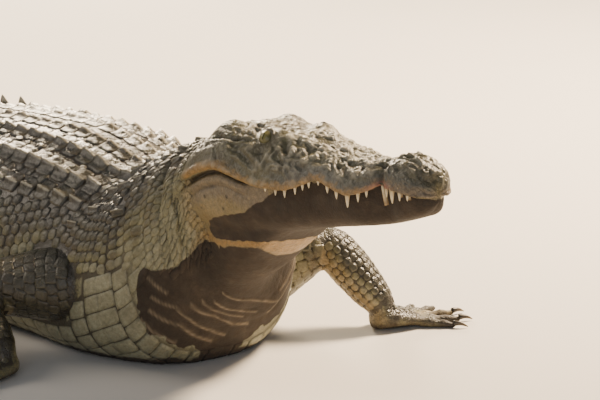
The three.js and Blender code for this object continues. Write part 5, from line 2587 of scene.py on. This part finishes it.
@dataclass
class TailCrest:
    """The upright scutes of the tail: a row on each side that meet in one."""

    sheet: BodySheet
    start: float = -330.0
    join: float = -1330.0
    end: float = -2390.0
    step: float = 58.0
    thickness: float = 11.0
    root: float = 10.0

    def scute(self, at: float, girth: float, side: int, height: float) -> Shape:
        """Draws one scute: a thick-footed blade that rises to the rear.

        Args:
            at: Its place along the body.
            girth: How far it stands from the middle of the back.
            side: 1 on the left, -1 on the right.
            height: Its height at the rear.

        Returns:
            Its points and faces.
        """
        long = self.step * 0.52
        ahead = long * np.array((0.95, 0.7, 0.4, 0.1, -0.2, -0.5, -0.75, -0.92, -1.02, -1.08))
        tall = np.array((0.03, 0.14, 0.3, 0.47, 0.64, 0.82, 0.95, 1.0, 0.9, 0.55))
        thick = np.array((0.4, 0.7, 0.9, 1.0, 1.0, 0.95, 0.85, 0.7, 0.5, 0.25))
        down = np.array((0.0, 0.06, 0.2, 0.42, 0.7, 1.0))
        rise = np.concatenate([1 - down[::-1], 1 - down[1:]])
        across = np.concatenate([down[::-1] ** 0.62, -(down[1:] ** 0.62)])
        rings = []
        for place, share, wide in zip(ahead, tall, thick):
            row, column = self.sheet.place(at + place, girth, side)
            foot, normal = self.sheet.sample(np.array([row]), np.array([column]))
            forward = unit(self.sheet.sample(np.array([row + 1.0]), np.array([column]))[0] - foot)
            up = unit(normal + np.array((0, 0, 0.8)))
            left = np.cross(up, forward)
            top = height * share + 2
            lift = -self.root + rise * (top + self.root)
            half = 0.5 * self.thickness * wide * across * (1 + 0.25 * (rise < 0.3))
            ridge = 0.5 * np.sin(lift * 0.9 + place * 0.4) * (np.abs(across) > 0.2)
            rings.append(foot + left * (half + ridge * np.sign(across))[:, None] + up * lift[:, None])
        rings = np.array(rings)
        ends = [rings[0].mean(0)[None], rings[-1].mean(0)[None]]
        points = np.concatenate([rings.reshape(-1, 3), *ends])
        return points, close_rings(*rings.shape[:2], backward=True)

    def build(self) -> bpy.types.Object:
        """Makes all scutes as one piece.

        Returns:
            The crest.
        """
        parts, roots = [], []
        at = self.start
        while at > self.end:
            run = (self.start - at) / (self.start - self.end)
            height = 14 + 34 * math.sin(math.pi * min(1, run + 0.12)) ** 0.8
            chance = TrunkScales.chance(at, 3, 1)
            spread = float(BODY.read("half", at)) * 0.42 * (at - self.join) / (self.start - self.join)
            stands = [(0, 1, height + 8)]
            if at > self.join:
                stands = [(spread + 4, side, height) for side in SIDES]
            for girth, side, tall in stands:
                points, faces = self.scute(at, girth, side, (tall + 3) * (0.94 + 0.1 * chance))
                row, column = self.sheet.place(at, girth, side)
                parts.append((points, faces))
                roots.append((row, column, len(points)))
            at -= self.step
        points, faces = join_meshes(parts)
        rows = np.concatenate([np.full(count, row) for row, _, count in roots])
        columns = np.concatenate([np.full(count, column) for _, column, count in roots])
        marks = self.sheet.marks(points, rows, columns)
        base, normal = self.sheet.sample(rows, columns)
        above = np.einsum("px,px->p", points - base, normal)
        # Painted shade and highlight: each scute is darkest at its foot and palest near its top.
        marks[Mark.HIGH] = smooth_step(-2, 26, above)
        marks[Mark.TONE] = np.clip(0.45 + 0.3 * Grain.lumps(points, 60, 4), 0, 1)
        marks[Mark.FINE] = rows * 0 + 0.3
        u, v = self.sheet.bake_place(rows, columns)
        corners = np.concatenate([group.ravel() for group in faces])
        local = points - base
        aside, upward = np.clip(local[:, 1] / 40, -1, 1), np.clip(above / 50, -1, 1)
        spot = np.stack([u + PATCH * aside, v + PATCH * upward], -1)
        values = {mark.value: data for mark, data in marks.items()}
        LOG.info("tail_crest: %d scutes", len(parts))
        return make_piece("tail_crest", points, faces, spot[corners], values)


def horn(
    root: Array, direction: Array, length: float, radius: float, bend: Array, count: int
) -> tuple[Array, list[Array], Array]:
    """Draws one tapering horny point, such as a tooth or a claw.

    Args:
        root: The middle of its foot.
        direction: Which way it starts.
        length: How far it runs.
        radius: Its half width at the foot.
        bend: How far its tip is pushed aside.
        count: Points round it.

    Returns:
        Its points, its faces and how far along it each point lies, from 0 to 1.
    """
    t = np.concatenate([np.linspace(0, 0.9, 12), (0.95, 0.98, 1.0)])
    forward = unit(np.asarray(direction, float))
    side = np.cross((0.0, 0.0, 1.0), forward)
    left = unit(side) if np.linalg.norm(side) > 1e-3 else np.array((0.0, 1.0, 0.0))
    up = np.cross(forward, left)
    centres = root + t[:, None] * length * forward + (t**2)[:, None] * bend
    wide = radius * np.sqrt(np.clip(1 - t, 0, 1)) * (1 - 0.25 * t) + 0.25
    wide = np.minimum(wide, radius * (1.04 - 0.9 * t**1.5))
    axes = (np.tile(left, (len(t), 1)), np.tile(up, (len(t), 1)))
    points, faces = tube(centres, *axes, np.stack([wide, wide * 1.08], -1), count)
    along = np.concatenate([np.repeat(t, count), (0.0, 1.0)])
    return points, faces, along


@dataclass(frozen=True)
class Teeth:
    """All teeth that show with the jaws closed."""

    inset: float = 4.8  # how far the upper teeth stand inside the lip
    root: float = 7.0  # how deep they stand in the jaw
    lower_at: tuple[tuple[float, float], ...] = ((508, 9), (489, 9), (462, 9))
    great: tuple[float, float, float] = (440.0, 31.0, -24.0)  # the fourth lower tooth's root
    great_size: tuple[float, float] = (40, 4.8)  # its length and half width

    def build(self) -> bpy.types.Object:
        """Makes the teeth of both jaws as one piece.

        Returns:
            The teeth.
        """
        parts, along = [], []
        for at, length in UPPER_TEETH:
            for side in SIDES:
                chance = TrunkScales.chance(at, length, side)
                half = float(SKULL.read("lip_half", at))
                lip = float(SKULL.read("lip", at))
                root = np.array((at, side * (half - self.inset), lip + self.root))
                lean = np.array((0.06 * (chance - 0.5), side * (0.10 + 0.06 * chance), -1.0))
                long = (length + self.root) * (0.9 + 0.12 * chance)
                bend = np.array((-0.05 * length, -side * 0.12 * length, 0.0))
                self.add(parts, along, root, lean, long, 2.5 + 0.1 * length, bend)
        for side in SIDES:
            root = np.array(self.great) * (1, side, 1)
            lean = np.array((-0.04, side * 0.26, 1.0))
            bend = np.array((-1.5, -side * 2.0, 0))
            self.add(parts, along, root, lean, *self.great_size, bend)
            for at, length in self.lower_at:
                half = float(JAW.read("half", at))
                root = np.array((at, side * (half - 1.0), float(SKULL.read("lip", at)) - 12.0))
                lean = np.array((0.08, side * 0.12, 1.0))
                self.add(parts, along, root, lean, length, 2.6, np.array((0.0, -side * 1.0, 0.0)))
        points, faces = join_meshes(parts)
        made = make_piece("teeth", from_head(points), faces, marks={"along": np.concatenate(along)})
        LOG.info("teeth: %d", len(parts))
        return made

    @staticmethod
    def add(
        parts: list[Shape],
        along: list[Array],
        root: Array,
        lean: Array,
        long: float,
        radius: float,
        bend: Array,
    ) -> None:
        """Adds one tooth to the lists.

        Args:
            parts: The teeth's meshes.
            along: How far along its tooth each point lies.
            root: The middle of the tooth's foot.
            lean: Which way it starts.
            long: Its length.
            radius: Its half width at the foot.
            bend: How far its tip is pushed aside.
        """
        points, faces, share = horn(root, lean, long, radius, bend, 12)
        parts.append((points, faces))
        along.append(share)


@dataclass(frozen=True)
class Claws:
    """The claws of one foot."""

    limb: Limb

    def build(self) -> bpy.types.Object:
        """Makes the three claws of the foot as one piece.

        Returns:
            The claws.
        """
        sizes = self.limb.sizes
        parts, along = [], []
        for index in range(CLAWED_DIGITS):
            start, direction, length = self.limb.digit_line(index)
            radius = sizes.knuckle * 0.4
            root = start + direction * (length - 6)
            root[2] = radius + 3.5
            bend = np.array((0.0, 0.0, 2.2 - root[2]))
            push = bend + np.array((0.0, 0.0, 1.0))
            points, faces, share = horn(root, direction, sizes.claw + 6, radius, push, 16)
            points[:, 2] += 2.0 * np.sin(math.pi * np.clip(share, 0, 1))
            points[:, 2] = np.maximum(points[:, 2], 0.3)
            parts.append((self.limb.to_model(points), faces))
            along.append(share)
        points, faces = join_meshes(parts)
        name = self.limb.name.replace("_leg", "_claws")
        return make_piece(name, points, faces, marks={"along": np.concatenate(along)})


@dataclass(frozen=True)
class Eye:
    """One eyeball, with a bulging cornea and an upright slit of a pupil."""

    side: int
    socket: EyeSocket
    iris: float = 14.6  # its radius as seen from in front
    pupil: tuple[float, float] = (0.9, 7.2)  # half width and half height of the slit

    def build(self) -> bpy.types.Object:
        """Makes the ball with the marks that its finish reads.

        Returns:
            The ball.
        """
        outward, forward, upward = self.socket.axes()
        if upward[2] < 0:
            upward = -upward
        rings, count = 56, 96
        tilt = np.concatenate([np.linspace(0.012, 0.75, 40), np.linspace(0.8, math.pi - 0.02, rings - 40)])
        turn = np.arange(count) * 2 * math.pi / count
        radius = self.socket.ball + 0.9 * smooth_step(0.66, 0.3, tilt)
        a = (radius * np.cos(tilt))[:, None] * np.ones(count)
        f = (radius * np.sin(tilt))[:, None] * np.cos(turn)
        u = (radius * np.sin(tilt))[:, None] * np.sin(turn)
        away = np.hypot(f, u)
        slit = np.abs(f) / (self.pupil[0] * np.sqrt(np.clip(1 - (u / self.pupil[1]) ** 2, 0.0001, 1)))
        slit = np.where(np.abs(u) < self.pupil[1], slit, 9.0)
        front = a > 0
        iris = np.where(front, away / self.iris, 2.0)
        slit = np.where(front, slit, 9.0)
        points = np.array(self.socket.centre) + a[..., None] * outward + f[..., None] * forward
        points = points + u[..., None] * upward
        ends = [points[0].mean(0)[None], points[-1].mean(0)[None]]
        flat = np.concatenate([points.reshape(-1, 3), *ends])
        faces = close_rings(rings, count)
        if self.side > 0:
            faces = [group[:, ::-1] for group in faces]
        flat[:, 1] *= self.side
        marks = {
            "iris": np.concatenate([iris.ravel(), (0.0, 2.0)]),
            "slit": np.concatenate([np.minimum(slit.ravel(), 3.0), (0.0, 3.0)]),
        }
        name = "left_eye_ball" if self.side > 0 else "right_eye_ball"
        return make_piece(name, from_head(flat), faces, marks=marks)


# ---------------------------------------------------------------- finishes


Socket = bpy.types.NodeSocket
Nodes = Callable[..., Socket]  # add_node, once it knows the material's tree


def linear(code: str) -> tuple[float, float, float, float]:
    """Turns an sRGB hex colour into the linear one that shaders take.

    Args:
        code: Six hex digits after a hash sign.

    Returns:
        Red, green, blue and an alpha of 1.
    """
    parts = [int(code[i : i + 2], 16) / 255 for i in (1, 3, 5)]
    made = [c / 12.92 if c <= 0.04045 else ((c + 0.055) / 1.055) ** 2.4 for c in parts]
    return (*made, 1.0)


def add_node(
    tree: bpy.types.NodeTree,
    kind: str,
    inputs: dict[str, object] | tuple = (),
    give: int | str = 0,
    **settings: object,
) -> Socket | None:
    """Adds a node with its settings, values and links.

    Args:
        tree: The node tree it joins.
        kind: The node's type, without "ShaderNode".
        inputs: Values or output sockets for its inputs, in their order, or by identifier or name.
            A hex colour is turned to linear.
        give: Which of its outputs is given back.
        settings: Properties of the node. stops fills a colour ramp.

    Returns:
        The output, or None where the node has none.
    """
    node = tree.nodes.new("ShaderNode" + kind)
    stops = settings.pop("stops", ())
    for name, value in settings.items():
        setattr(node, name, value)
    while stops and len(node.color_ramp.elements) < len(stops):
        node.color_ramp.elements.new(1.0)
    for index, (place, colour) in enumerate(stops):
        element = node.color_ramp.elements[index]
        element.position = place
        element.color = linear(colour) if isinstance(colour, str) else (colour, colour, colour, 1)
    if isinstance(inputs, tuple):
        pairs = list(zip(node.inputs, inputs))
    else:
        pairs = [
            (next(s for s in node.inputs if name in (s.identifier, s.name)), value)
            for name, value in inputs.items()
        ]
    for socket, value in pairs:
        if isinstance(value, Socket):
            tree.links.new(value, socket)
        else:
            socket.default_value = linear(value) if isinstance(value, str) else value
    return node.outputs[give] if node.outputs else None


class Finish:
    """What all finishes share: one new material round a shader."""

    name: str

    def surface(self, node: Nodes) -> dict[str, object]:
        """Works out the value or socket of each input of the shader, adding nodes with node."""
        raise NotImplementedError

    def material(self) -> bpy.types.Material:
        """Makes the material.

        Returns:
            The material.
        """
        made = bpy.data.materials.new(self.name)
        made.use_nodes = True
        made.node_tree.nodes.clear()
        node = partial(add_node, made.node_tree)
        node("OutputMaterial", {"Surface": node("BsdfPrincipled", self.surface(node))})
        return made


@dataclass(frozen=True)
class HornyHide(Finish):
    """Living crocodile hide: keratin over bone and muscle, grown, worn, sun-dried and muddied.

    The eye reads it as dull olive-grey plates whose keels and edges are paler, partly from wear and partly
    as a painted highlight, with dark skin and painted shade in the seams and folds between them, cream
    plates below, matt dark mud where the throat and jaw have been in the water and a warm tan of painted
    sunlight on the throat.
    """

    name: str
    back: tuple[tuple[float, str], ...] = (
        (0.0, "#403E35"),
        (0.3, "#575442"),
        (0.62, "#807B5A"),
        (1.0, "#9C9A80"),
    )
    # Dark skin of the seams and fine cracks, also laid on as painted shade in the seams between scales and
    # in the folds of the head.
    seam_and_shade: str = "#2B261D"
    # Paler colour of keels, crests and ridges: partly wear, partly a painted highlight.
    worn: str = "#B0A993"
    blotch: str = "#4A3D2B"
    tan: str = "#A8854F"
    slate: str = "#62656A"
    gum: str = "#9C6055"
    clean: str = "#9A8A72"
    mud: tuple[tuple[float, str], ...] = ((0.25, "#211913"), (0.55, "#30261E"), (0.8, "#43372C"))
    dust: tuple[tuple[float, str], ...] = ((0.3, "#B4B0A8"), (0.7, "#FFFFFF"))
    crack: float = 8.5  # millimetres between the fine cracks of the head and neck
    pebble: float = 3.2  # millimetres between the finest grains, drawn at twice their real size
    blotch_size: float = 75.0  # millimetres between the dark blotches of the flanks
    roughness: float = 0.47  # keratin, dry and polished by wear
    mud_roughness: float = 0.9
    ior: float = 1.54  # keratin

    def surface(self, node: Nodes) -> dict[str, object]:
        """Works out the shader's inputs from the marks that the mesh carries.

        Args:
            node: Adds a node.

        Returns:
            The value or socket of each input.
        """
        mark = {m: node("Attribute", (), "Fac", attribute_name=m.value) for m in Mark}
        place = node("TexCoord", (), "Object")
        cracks = self.cracks(node, place)
        colour, mud = self.colour(node, mark, place, cracks)
        rough = node(
            "MapRange", {"Value": mud, "To Min": self.roughness, "To Max": self.mud_roughness}
        )
        cream = node("Math", (mark[Mark.PALE], 0.2, -0.17), operation="MULTIPLY_ADD")
        rough = node("Math", (rough, cream), operation="ADD")
        patchy = node("TexNoise", {"Vector": place, "Scale": 38.0, "Detail": 4.0})
        patchy = node("Math", (patchy, 0.3, -0.15), operation="MULTIPLY_ADD")
        height = self.height(node, mark, place, mud, cracks)
        return {
            "Base Color": colour,
            "Roughness": node("Math", (rough, patchy), operation="ADD", use_clamp=True),
            "IOR": self.ior,
            "Normal": node("Bump", {"Strength": 1.0, "Distance": MM, "Height": height}),
        }

    def colour(
        self, node: Nodes, mark: dict[Mark, Socket], place: Socket, cracks: Socket
    ) -> tuple[Socket, Socket]:
        """Lays the colours of the hide over each other.

        Args:
            node: Adds a node.
            mark: The socket of each mark.
            place: Places on the object.
            cracks: The fine cracks.

        Returns:
            The socket of the colour, and that of the mud, for its roughness.
        """
        wide, fine, spots, earth = (
            node("TexNoise", {"Vector": place, "Scale": scale, "Detail": detail, "Roughness": rough})
            for scale, detail, rough in (
                (9.0, 4.0, 0.5),
                (120.0, 5.0, 0.65),
                (1000 / self.blotch_size, 3.0, 0.5),
                (30.0, 6.0, 0.6),
            )
        )
        pale = node("Math", (wide, 0.34, -0.17), operation="MULTIPLY_ADD")
        pale = node("Math", (mark[Mark.PALE], pale), operation="ADD")
        tone = node("Math", (mark[Mark.TONE], 0.22, -0.10), operation="MULTIPLY_ADD")
        pale = node("Math", (pale, tone), operation="ADD", use_clamp=True)
        spots = node("ValToRGB", (spots,), stops=((0.5, 0.0), (0.6, 1.0)))
        side = ((0.05, 0.15), (0.4, 0.75), (0.8, 0.5), (1.0, 0.1))
        side = node("ValToRGB", (mark[Mark.PALE],), stops=side)
        coat = node("Math", (mark[Mark.FINE], -1.0, 1.0), operation="MULTIPLY_ADD", use_clamp=True)
        side = node("Math", (side, coat), operation="MULTIPLY")
        warm = node("Math", (fine, 1.3, 0.25), operation="MULTIPLY_ADD")
        warm = node("Math", (mark[Mark.WARM], warm), operation="MULTIPLY", use_clamp=True)
        creased = node("Math", (mark[Mark.FINE], 0.42), operation="MULTIPLY")
        open_cracks = node("Math", (1.0, cracks), operation="SUBTRACT")
        # Painted shade: where the high mark is low, in the seams between scales and the folds of the head,
        # the colour darkens towards the seam colour.
        low = node("ValToRGB", (mark[Mark.HIGH],), stops=((0.0, 1.0), (0.40, 0.0)))
        # Painted highlight: where the high mark is high, on keels, crests and ridges, the colour pales
        # towards the worn colour, less so on the pale underside.
        high = node("ValToRGB", (mark[Mark.HIGH],), stops=((0.72, 0.0), (1.0, 1.0)))
        dark = node("Math", (mark[Mark.PALE], -0.5, 0.72), operation="MULTIPLY_ADD", use_clamp=True)
        mud = node("Math", (fine, 0.5, -0.25), operation="MULTIPLY_ADD")
        mud = node("Math", (mark[Mark.MUD], mud), operation="ADD")
        mud = node("ValToRGB", (mud,), stops=((0.35, 0.0), (0.62, 0.96)))
        bare = node("Math", (mud, 0.75), operation="MULTIPLY")
        colour = node("ValToRGB", (pale,), stops=self.back)
        for share, over, way in (
            (node("Math", (spots, side), operation="MULTIPLY"), self.blotch, "MIX"),
            (mark[Mark.BLUE], self.slate, "MIX"),
            (warm, self.tan, "MIX"),
            (0.75, node("ValToRGB", (fine,), stops=self.dust), "MULTIPLY"),
            (node("Math", (open_cracks, creased), operation="MULTIPLY"), self.seam_and_shade, "MIX"),
            (node("Math", (low, 0.85), operation="MULTIPLY"), self.seam_and_shade, "MIX"),
            (node("Math", (high, dark), operation="MULTIPLY"), self.worn, "MIX"),
            (mark[Mark.GUM], self.gum, "MIX"),
            (mud, node("ValToRGB", (earth,), stops=self.mud), "MIX"),
            (node("Math", (mark[Mark.CLEAN], bare), operation="MULTIPLY"), self.clean, "MIX"),
        ):
            inputs = {"Factor_Float": share, "A_Color": colour, "B_Color": over}
            colour = node("Mix", inputs, 2, data_type="RGBA", blend_type=way)
        return colour, mud

    def cracks(self, node: Nodes, place: Socket) -> Socket:
        """Draws fine cracks between small flat scales.

        Args:
            node: Adds a node.
            place: Places on the object.

        Returns:
            A socket with 0 in a crack and 1 beside it.
        """
        warp = node("TexNoise", {"Vector": place, "Scale": 70.0, "Detail": 2.0}, "Color")
        moved = node("VectorMath", (warp, (0.004, 0.004, 0.004), place), operation="MULTIPLY_ADD")
        inputs = {"Vector": moved, "Scale": 1000 / self.crack}
        cells = node("TexVoronoi", inputs, "Distance", feature="DISTANCE_TO_EDGE")
        return node("ValToRGB", (cells,), stops=((0.0, 0.0), (0.14, 1.0)))

    def height(
        self, node: Nodes, mark: dict[Mark, Socket], place: Socket, mud: Socket, cracks: Socket
    ) -> Socket:
        """Builds the fine relief: cracks, pebbles and dried mud.

        Args:
            node: Adds a node.
            mark: The socket of each mark.
            place: Places on the object.
            mud: The socket of the mud.
            cracks: The fine cracks.

        Returns:
            The socket of the height, in millimetres.
        """
        creased = node("Math", (mark[Mark.FINE], 0.9), operation="MULTIPLY")
        total = node("Math", (cracks, creased), operation="MULTIPLY")
        pebbles = node("TexVoronoi", {"Vector": place, "Scale": 1000 / self.pebble})
        inputs = {"Vector": place, "Scale": 160.0, "Detail": 6.0, "Roughness": 0.6}
        grain = node("TexNoise", inputs)
        for layer, deep in ((pebbles, -0.35), (grain, 1.6)):
            layer = node("Math", (layer, deep), operation="MULTIPLY")
            total = node("Math", (total, layer), operation="ADD")
        calm = node("Math", (mud, -0.55, 1.0), operation="MULTIPLY_ADD")
        return node("Math", (total, calm), operation="MULTIPLY")


@dataclass(frozen=True)
class ToothEnamel(Finish):
    """Ivory enamel, grown and stained at the root: smooth and hard."""

    name: str = "tooth_enamel"
    length: tuple[tuple[float, str], ...] = (
        (0.1, "#8C7350"),
        (0.38, "#C9B58C"),
        (0.75, "#E4D8B8"),
        (1.0, "#D9CCA8"),
    )
    stain: str = "#9A8258"

    def surface(self, node: Nodes) -> dict[str, object]:
        """Works out the shader's inputs.

        Args:
            node: Adds a node.

        Returns:
            The value or socket of each input.
        """
        along = node("Attribute", (), "Fac", attribute_name="along")
        place = node("TexCoord", (), "Object")
        spots = node("TexNoise", {"Vector": place, "Scale": 220.0, "Detail": 4.0})
        share = node("Math", (spots, 0.9, -0.3), operation="MULTIPLY_ADD", use_clamp=True)
        colour = node("ValToRGB", (along,), stops=self.length)
        inputs = {"Factor_Float": share, "A_Color": colour, "B_Color": self.stain}
        return {
            "Base Color": node("Mix", inputs, 2, data_type="RGBA"),
            "Roughness": 0.32,
            "IOR": 1.62,  # enamel
            "Normal": node("Bump", {"Strength": 0.4, "Distance": 0.0004, "Height": spots}),
        }


@dataclass(frozen=True)
class ClawHorn(Finish):
    """Dark claw keratin, worn on the ground: nearly black at the root, paler and scratched ahead."""

    name: str = "claw_keratin"
    length: tuple[tuple[float, str], ...] = ((0.1, "#2A241C"), (0.6, "#4A3F30"), (1.0, "#7A6A50"))

    def surface(self, node: Nodes) -> dict[str, object]:
        """Works out the shader's inputs.

        Args:
            node: Adds a node.

        Returns:
            The value or socket of each input.
        """
        along = node("Attribute", (), "Fac", attribute_name="along")
        place = node("TexCoord", (), "Object")
        streak = node("TexNoise", {"Vector": place, "Scale": 300.0, "Detail": 5.0})
        uneven = node("Math", (streak, 0.5, -0.25), operation="MULTIPLY_ADD")
        worn = node("Math", (along, uneven), operation="ADD")
        return {
            "Base Color": node("ValToRGB", (worn,), stops=self.length),
            "Roughness": 0.42,
            "IOR": 1.54,  # keratin
            "Normal": node("Bump", {"Strength": 0.5, "Distance": 0.0005, "Height": streak}),
        }


@dataclass(frozen=True)
class WetEye(Finish):
    """A living reptile's eye: a mottled olive iris under a clear wet cornea that mirrors the light."""

    name: str = "wet_eye"
    iris: tuple[tuple[float, str], ...] = (
        (0.25, "#8C8748"),
        (0.5, "#716C3C"),
        (0.72, "#55512D"),
        (0.95, "#2A261A"),
    )
    cornea: float = 1.376  # its IOR

    def surface(self, node: Nodes) -> dict[str, object]:
        """Works out the shader's inputs.

        Args:
            node: Adds a node.

        Returns:
            The value or socket of each input.
        """
        iris = node("Attribute", (), "Fac", attribute_name="iris")
        slit = node("Attribute", (), "Fac", attribute_name="slit")
        place = node("TexCoord", (), "Object")
        inputs = {"Vector": place, "Scale": 700.0, "Detail": 4.0, "Roughness": 0.7}
        outer = node("Math", (iris, 0.45), operation="MULTIPLY")
        tone = node("Math", (node("TexNoise", inputs), 0.7, outer), operation="MULTIPLY_ADD")
        colour = node("ValToRGB", (tone,), stops=self.iris)
        third = node("Math", (slit, 0.3333), operation="MULTIPLY")
        # Painted shade: a dark ring round the edge of the iris, where the lids would shade the ball.
        rim = node("ValToRGB", (iris,), stops=((0.86, 0.0), (1.0, 1.0)))
        hole = node("ValToRGB", (third,), stops=((0.30, 1.0), (0.42, 0.0)))
        for share, over in ((rim, "#17130D"), (hole, "#040404")):
            inputs = {"Factor_Float": share, "A_Color": colour, "B_Color": over}
            colour = node("Mix", inputs, 2, data_type="RGBA")
        return {
            "Base Color": colour,
            "Roughness": 0.35,
            "IOR": self.cornea,
            "Coat Weight": 1.0,
            "Coat Roughness": 0.06,
            "Coat IOR": self.cornea,
        }


@dataclass(frozen=True)
class StudioPaper(Finish):
    """The pale matt floor of a photographer's studio."""

    name: str = "studio_paper"
    cloud: tuple[tuple[float, str], ...] = ((0.2, "#D3CFC8"), (0.8, "#DAD6D0"))

    def surface(self, node: Nodes) -> dict[str, object]:
        """Works out the shader's inputs.

        Args:
            node: Adds a node.

        Returns:
            The value or socket of each input.
        """
        inputs = {"Vector": node("TexCoord", (), "Object"), "Scale": 0.8, "Detail": 3.0}
        cloud = node("ValToRGB", (node("TexNoise", inputs),), stops=self.cloud)
        return {"Base Color": cloud, "Roughness": 0.85}


# ---------------------------------------------------------------- studio


@dataclass(frozen=True)
class SoftLight:
    """One large soft light."""

    name: str
    place: tuple[float, float, float]
    size: float
    power: float
    colour: str


@dataclass(frozen=True)
class Studio:
    """The camera, the floor and the lights. Lengths are in metres."""

    camera_at: tuple[float, float, float] = (4.3904, -2.6681, 1.56)
    ahead: tuple[float, float, float] = (-0.77142, 0.58131, -0.25882)
    right: tuple[float, float, float] = (0.60182, 0.79864, 0.0)
    lens: float = 148.8
    aim: tuple[float, float, float] = (0.4, 0.0, 0.3)
    floor: float = 14.0  # half the length of its side
    sky: str = "#DDE3EA"
    sky_strength: float = 0.22
    lights: tuple[SoftLight, ...] = (
        SoftLight("key", (0.2, 3.6, 3.3), 1.2, 1080, "#FFE2BC"),
        SoftLight("fill", (4.6, -3.2, 2.0), 3.6, 60, "#F4F7FF"),
        SoftLight("rim", (-3.2, -2.8, 3.4), 2.6, 120, "#FFF0DC"),
        SoftLight("glint", (-4.9, 2.5, 2.1), 1.4, 440, "#FFE9C8"),
    )

    def build(self) -> None:
        """Sets up the studio."""
        scene = bpy.context.scene
        data = bpy.data.cameras.new("camera")
        data.lens = self.lens
        data.sensor_width = 36
        data.clip_end = 60
        camera = bpy.data.objects.new("camera", data)
        scene.collection.objects.link(camera)
        ahead, right = Vector(self.ahead), Vector(self.right)
        up = right.cross(ahead)
        turn = Matrix((right, up, -ahead)).transposed().to_4x4()
        turn.translation = self.camera_at
        camera.matrix_world = turn
        scene.camera = camera
        corners = [(x * self.floor, y * self.floor, 0) for x, y in ((-1, -1), (1, -1), (1, 1), (-1, 1))]
        mesh = bpy.data.meshes.new("floor")
        mesh.from_pydata(corners, [], [(0, 1, 2, 3)])
        mesh.materials.append(StudioPaper().material())
        floor = bpy.data.objects.new("floor", mesh)
        scene.collection.objects.link(floor)
        for light in self.lights:
            lamp = bpy.data.lights.new(light.name, "AREA")
            lamp.size = light.size
            lamp.energy = light.power
            lamp.color = linear(light.colour)[:3]
            stand = bpy.data.objects.new(light.name, lamp)
            stand.location = light.place
            toward = Vector(self.aim) - Vector(light.place)
            stand.rotation_euler = toward.to_track_quat("-Z", "Y").to_euler()
            scene.collection.objects.link(stand)
        world = bpy.data.worlds.new("world")
        world.use_nodes = True
        sky = world.node_tree.nodes["Background"]
        sky.inputs["Color"].default_value = linear(self.sky)
        sky.inputs["Strength"].default_value = self.sky_strength
        scene.world = world


# ---------------------------------------------------------------- the whole animal


LIMBS = (
    Limb("left_fore_leg", FORE_SIZES, 1, (462, 190, 112), (536, 304, 172), (645, 366, 46), 82),
    Limb("right_fore_leg", FORE_SIZES, -1, (410, 190, 142), (256, 396, 128), (436, 402, 48), 78),
    Limb(
        "left_hind_leg", HIND_SIZES, 1, (-440, 150, 160), (-262, 392, 150), (-452, 448, 54), 32,
        voxel=5.5,
    ),
    Limb(
        "right_hind_leg", HIND_SIZES, -1, (-440, 150, 160), (-282, 394, 150), (-476, 436, 54), 28,
        voxel=5.5,
    ),
)


def flesh_nodes() -> list[str]:
    """Names the solids of flesh that the skin stands for."""
    return [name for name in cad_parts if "claw" not in name and "eye" not in name]


def wear(piece: bpy.types.Object, material: bpy.types.Material) -> None:
    """Gives a piece its material and ties it to the model.

    Args:
        piece: The piece.
        material: What it is made of.
    """
    piece.data.materials.clear()
    piece.data.materials.append(material)
    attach(piece, "root")
    LOG.info("%s: %d faces", piece.name, len(piece.data.polygons))


def main() -> None:
    """Builds and dresses the whole animal."""
    logging.basicConfig(level=logging.INFO, format="%(name)s %(message)s")
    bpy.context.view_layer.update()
    form = HideForm()
    HeadSculpt(form, EyeSocket()).apply()
    flesh = [limb.flesh() for limb in LIMBS]
    trees = [object_tree(leg) for leg in flesh]
    trunk_tree = bvh(form.all_points(), form.faces())
    skin = Skin(form, LIMBS, flesh).build()
    wear(skin, HornyHide("crocodile_hide").material())
    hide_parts(*flesh_nodes())

    sheet = BodySheet.of(form)
    horny = HornyHide("crocodile_scales").material()
    trunk = TrunkScales(sheet, trees)
    coat = [trunk.back(), trunk.flanks(), trunk.belly(), trunk.neck(), trunk.tail()]
    coat += LegScales(LIMBS, trees, trunk_tree).make()
    coat.append(TailCrest(sheet).build())
    for piece in coat:
        wear(piece, horny)

    Skin.uncover(skin, coat)

    wear(Teeth().build(), ToothEnamel().material())
    nail = ClawHorn().material()
    for limb in LIMBS:
        claws = Claws(limb).build()
        wear(claws, nail)
        flank = limb.name.replace("_leg", "_claw")
        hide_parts(*[f"{flank}_{index + 1}" for index in range(CLAWED_DIGITS)])
    wet = WetEye().material()
    for side, node in zip(SIDES, ("left_eye", "right_eye")):
        eye = Eye(side, EyeSocket()).build()
        wear(eye, wet)
        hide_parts(node)

    Studio().build()
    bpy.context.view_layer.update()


def object_tree(piece: bpy.types.Object) -> BVHTree:
    """Prepares a piece, in millimetres, for finding the nearest place on it.

    Args:
        piece: The piece.

    Returns:
        The prepared surface.
    """
    points = read_points(piece.data)
    polygons = [tuple(polygon.vertices) for polygon in piece.data.polygons]
    return BVHTree.FromPolygons(points.tolist(), polygons)


if __name__ == "__main__":
    main()
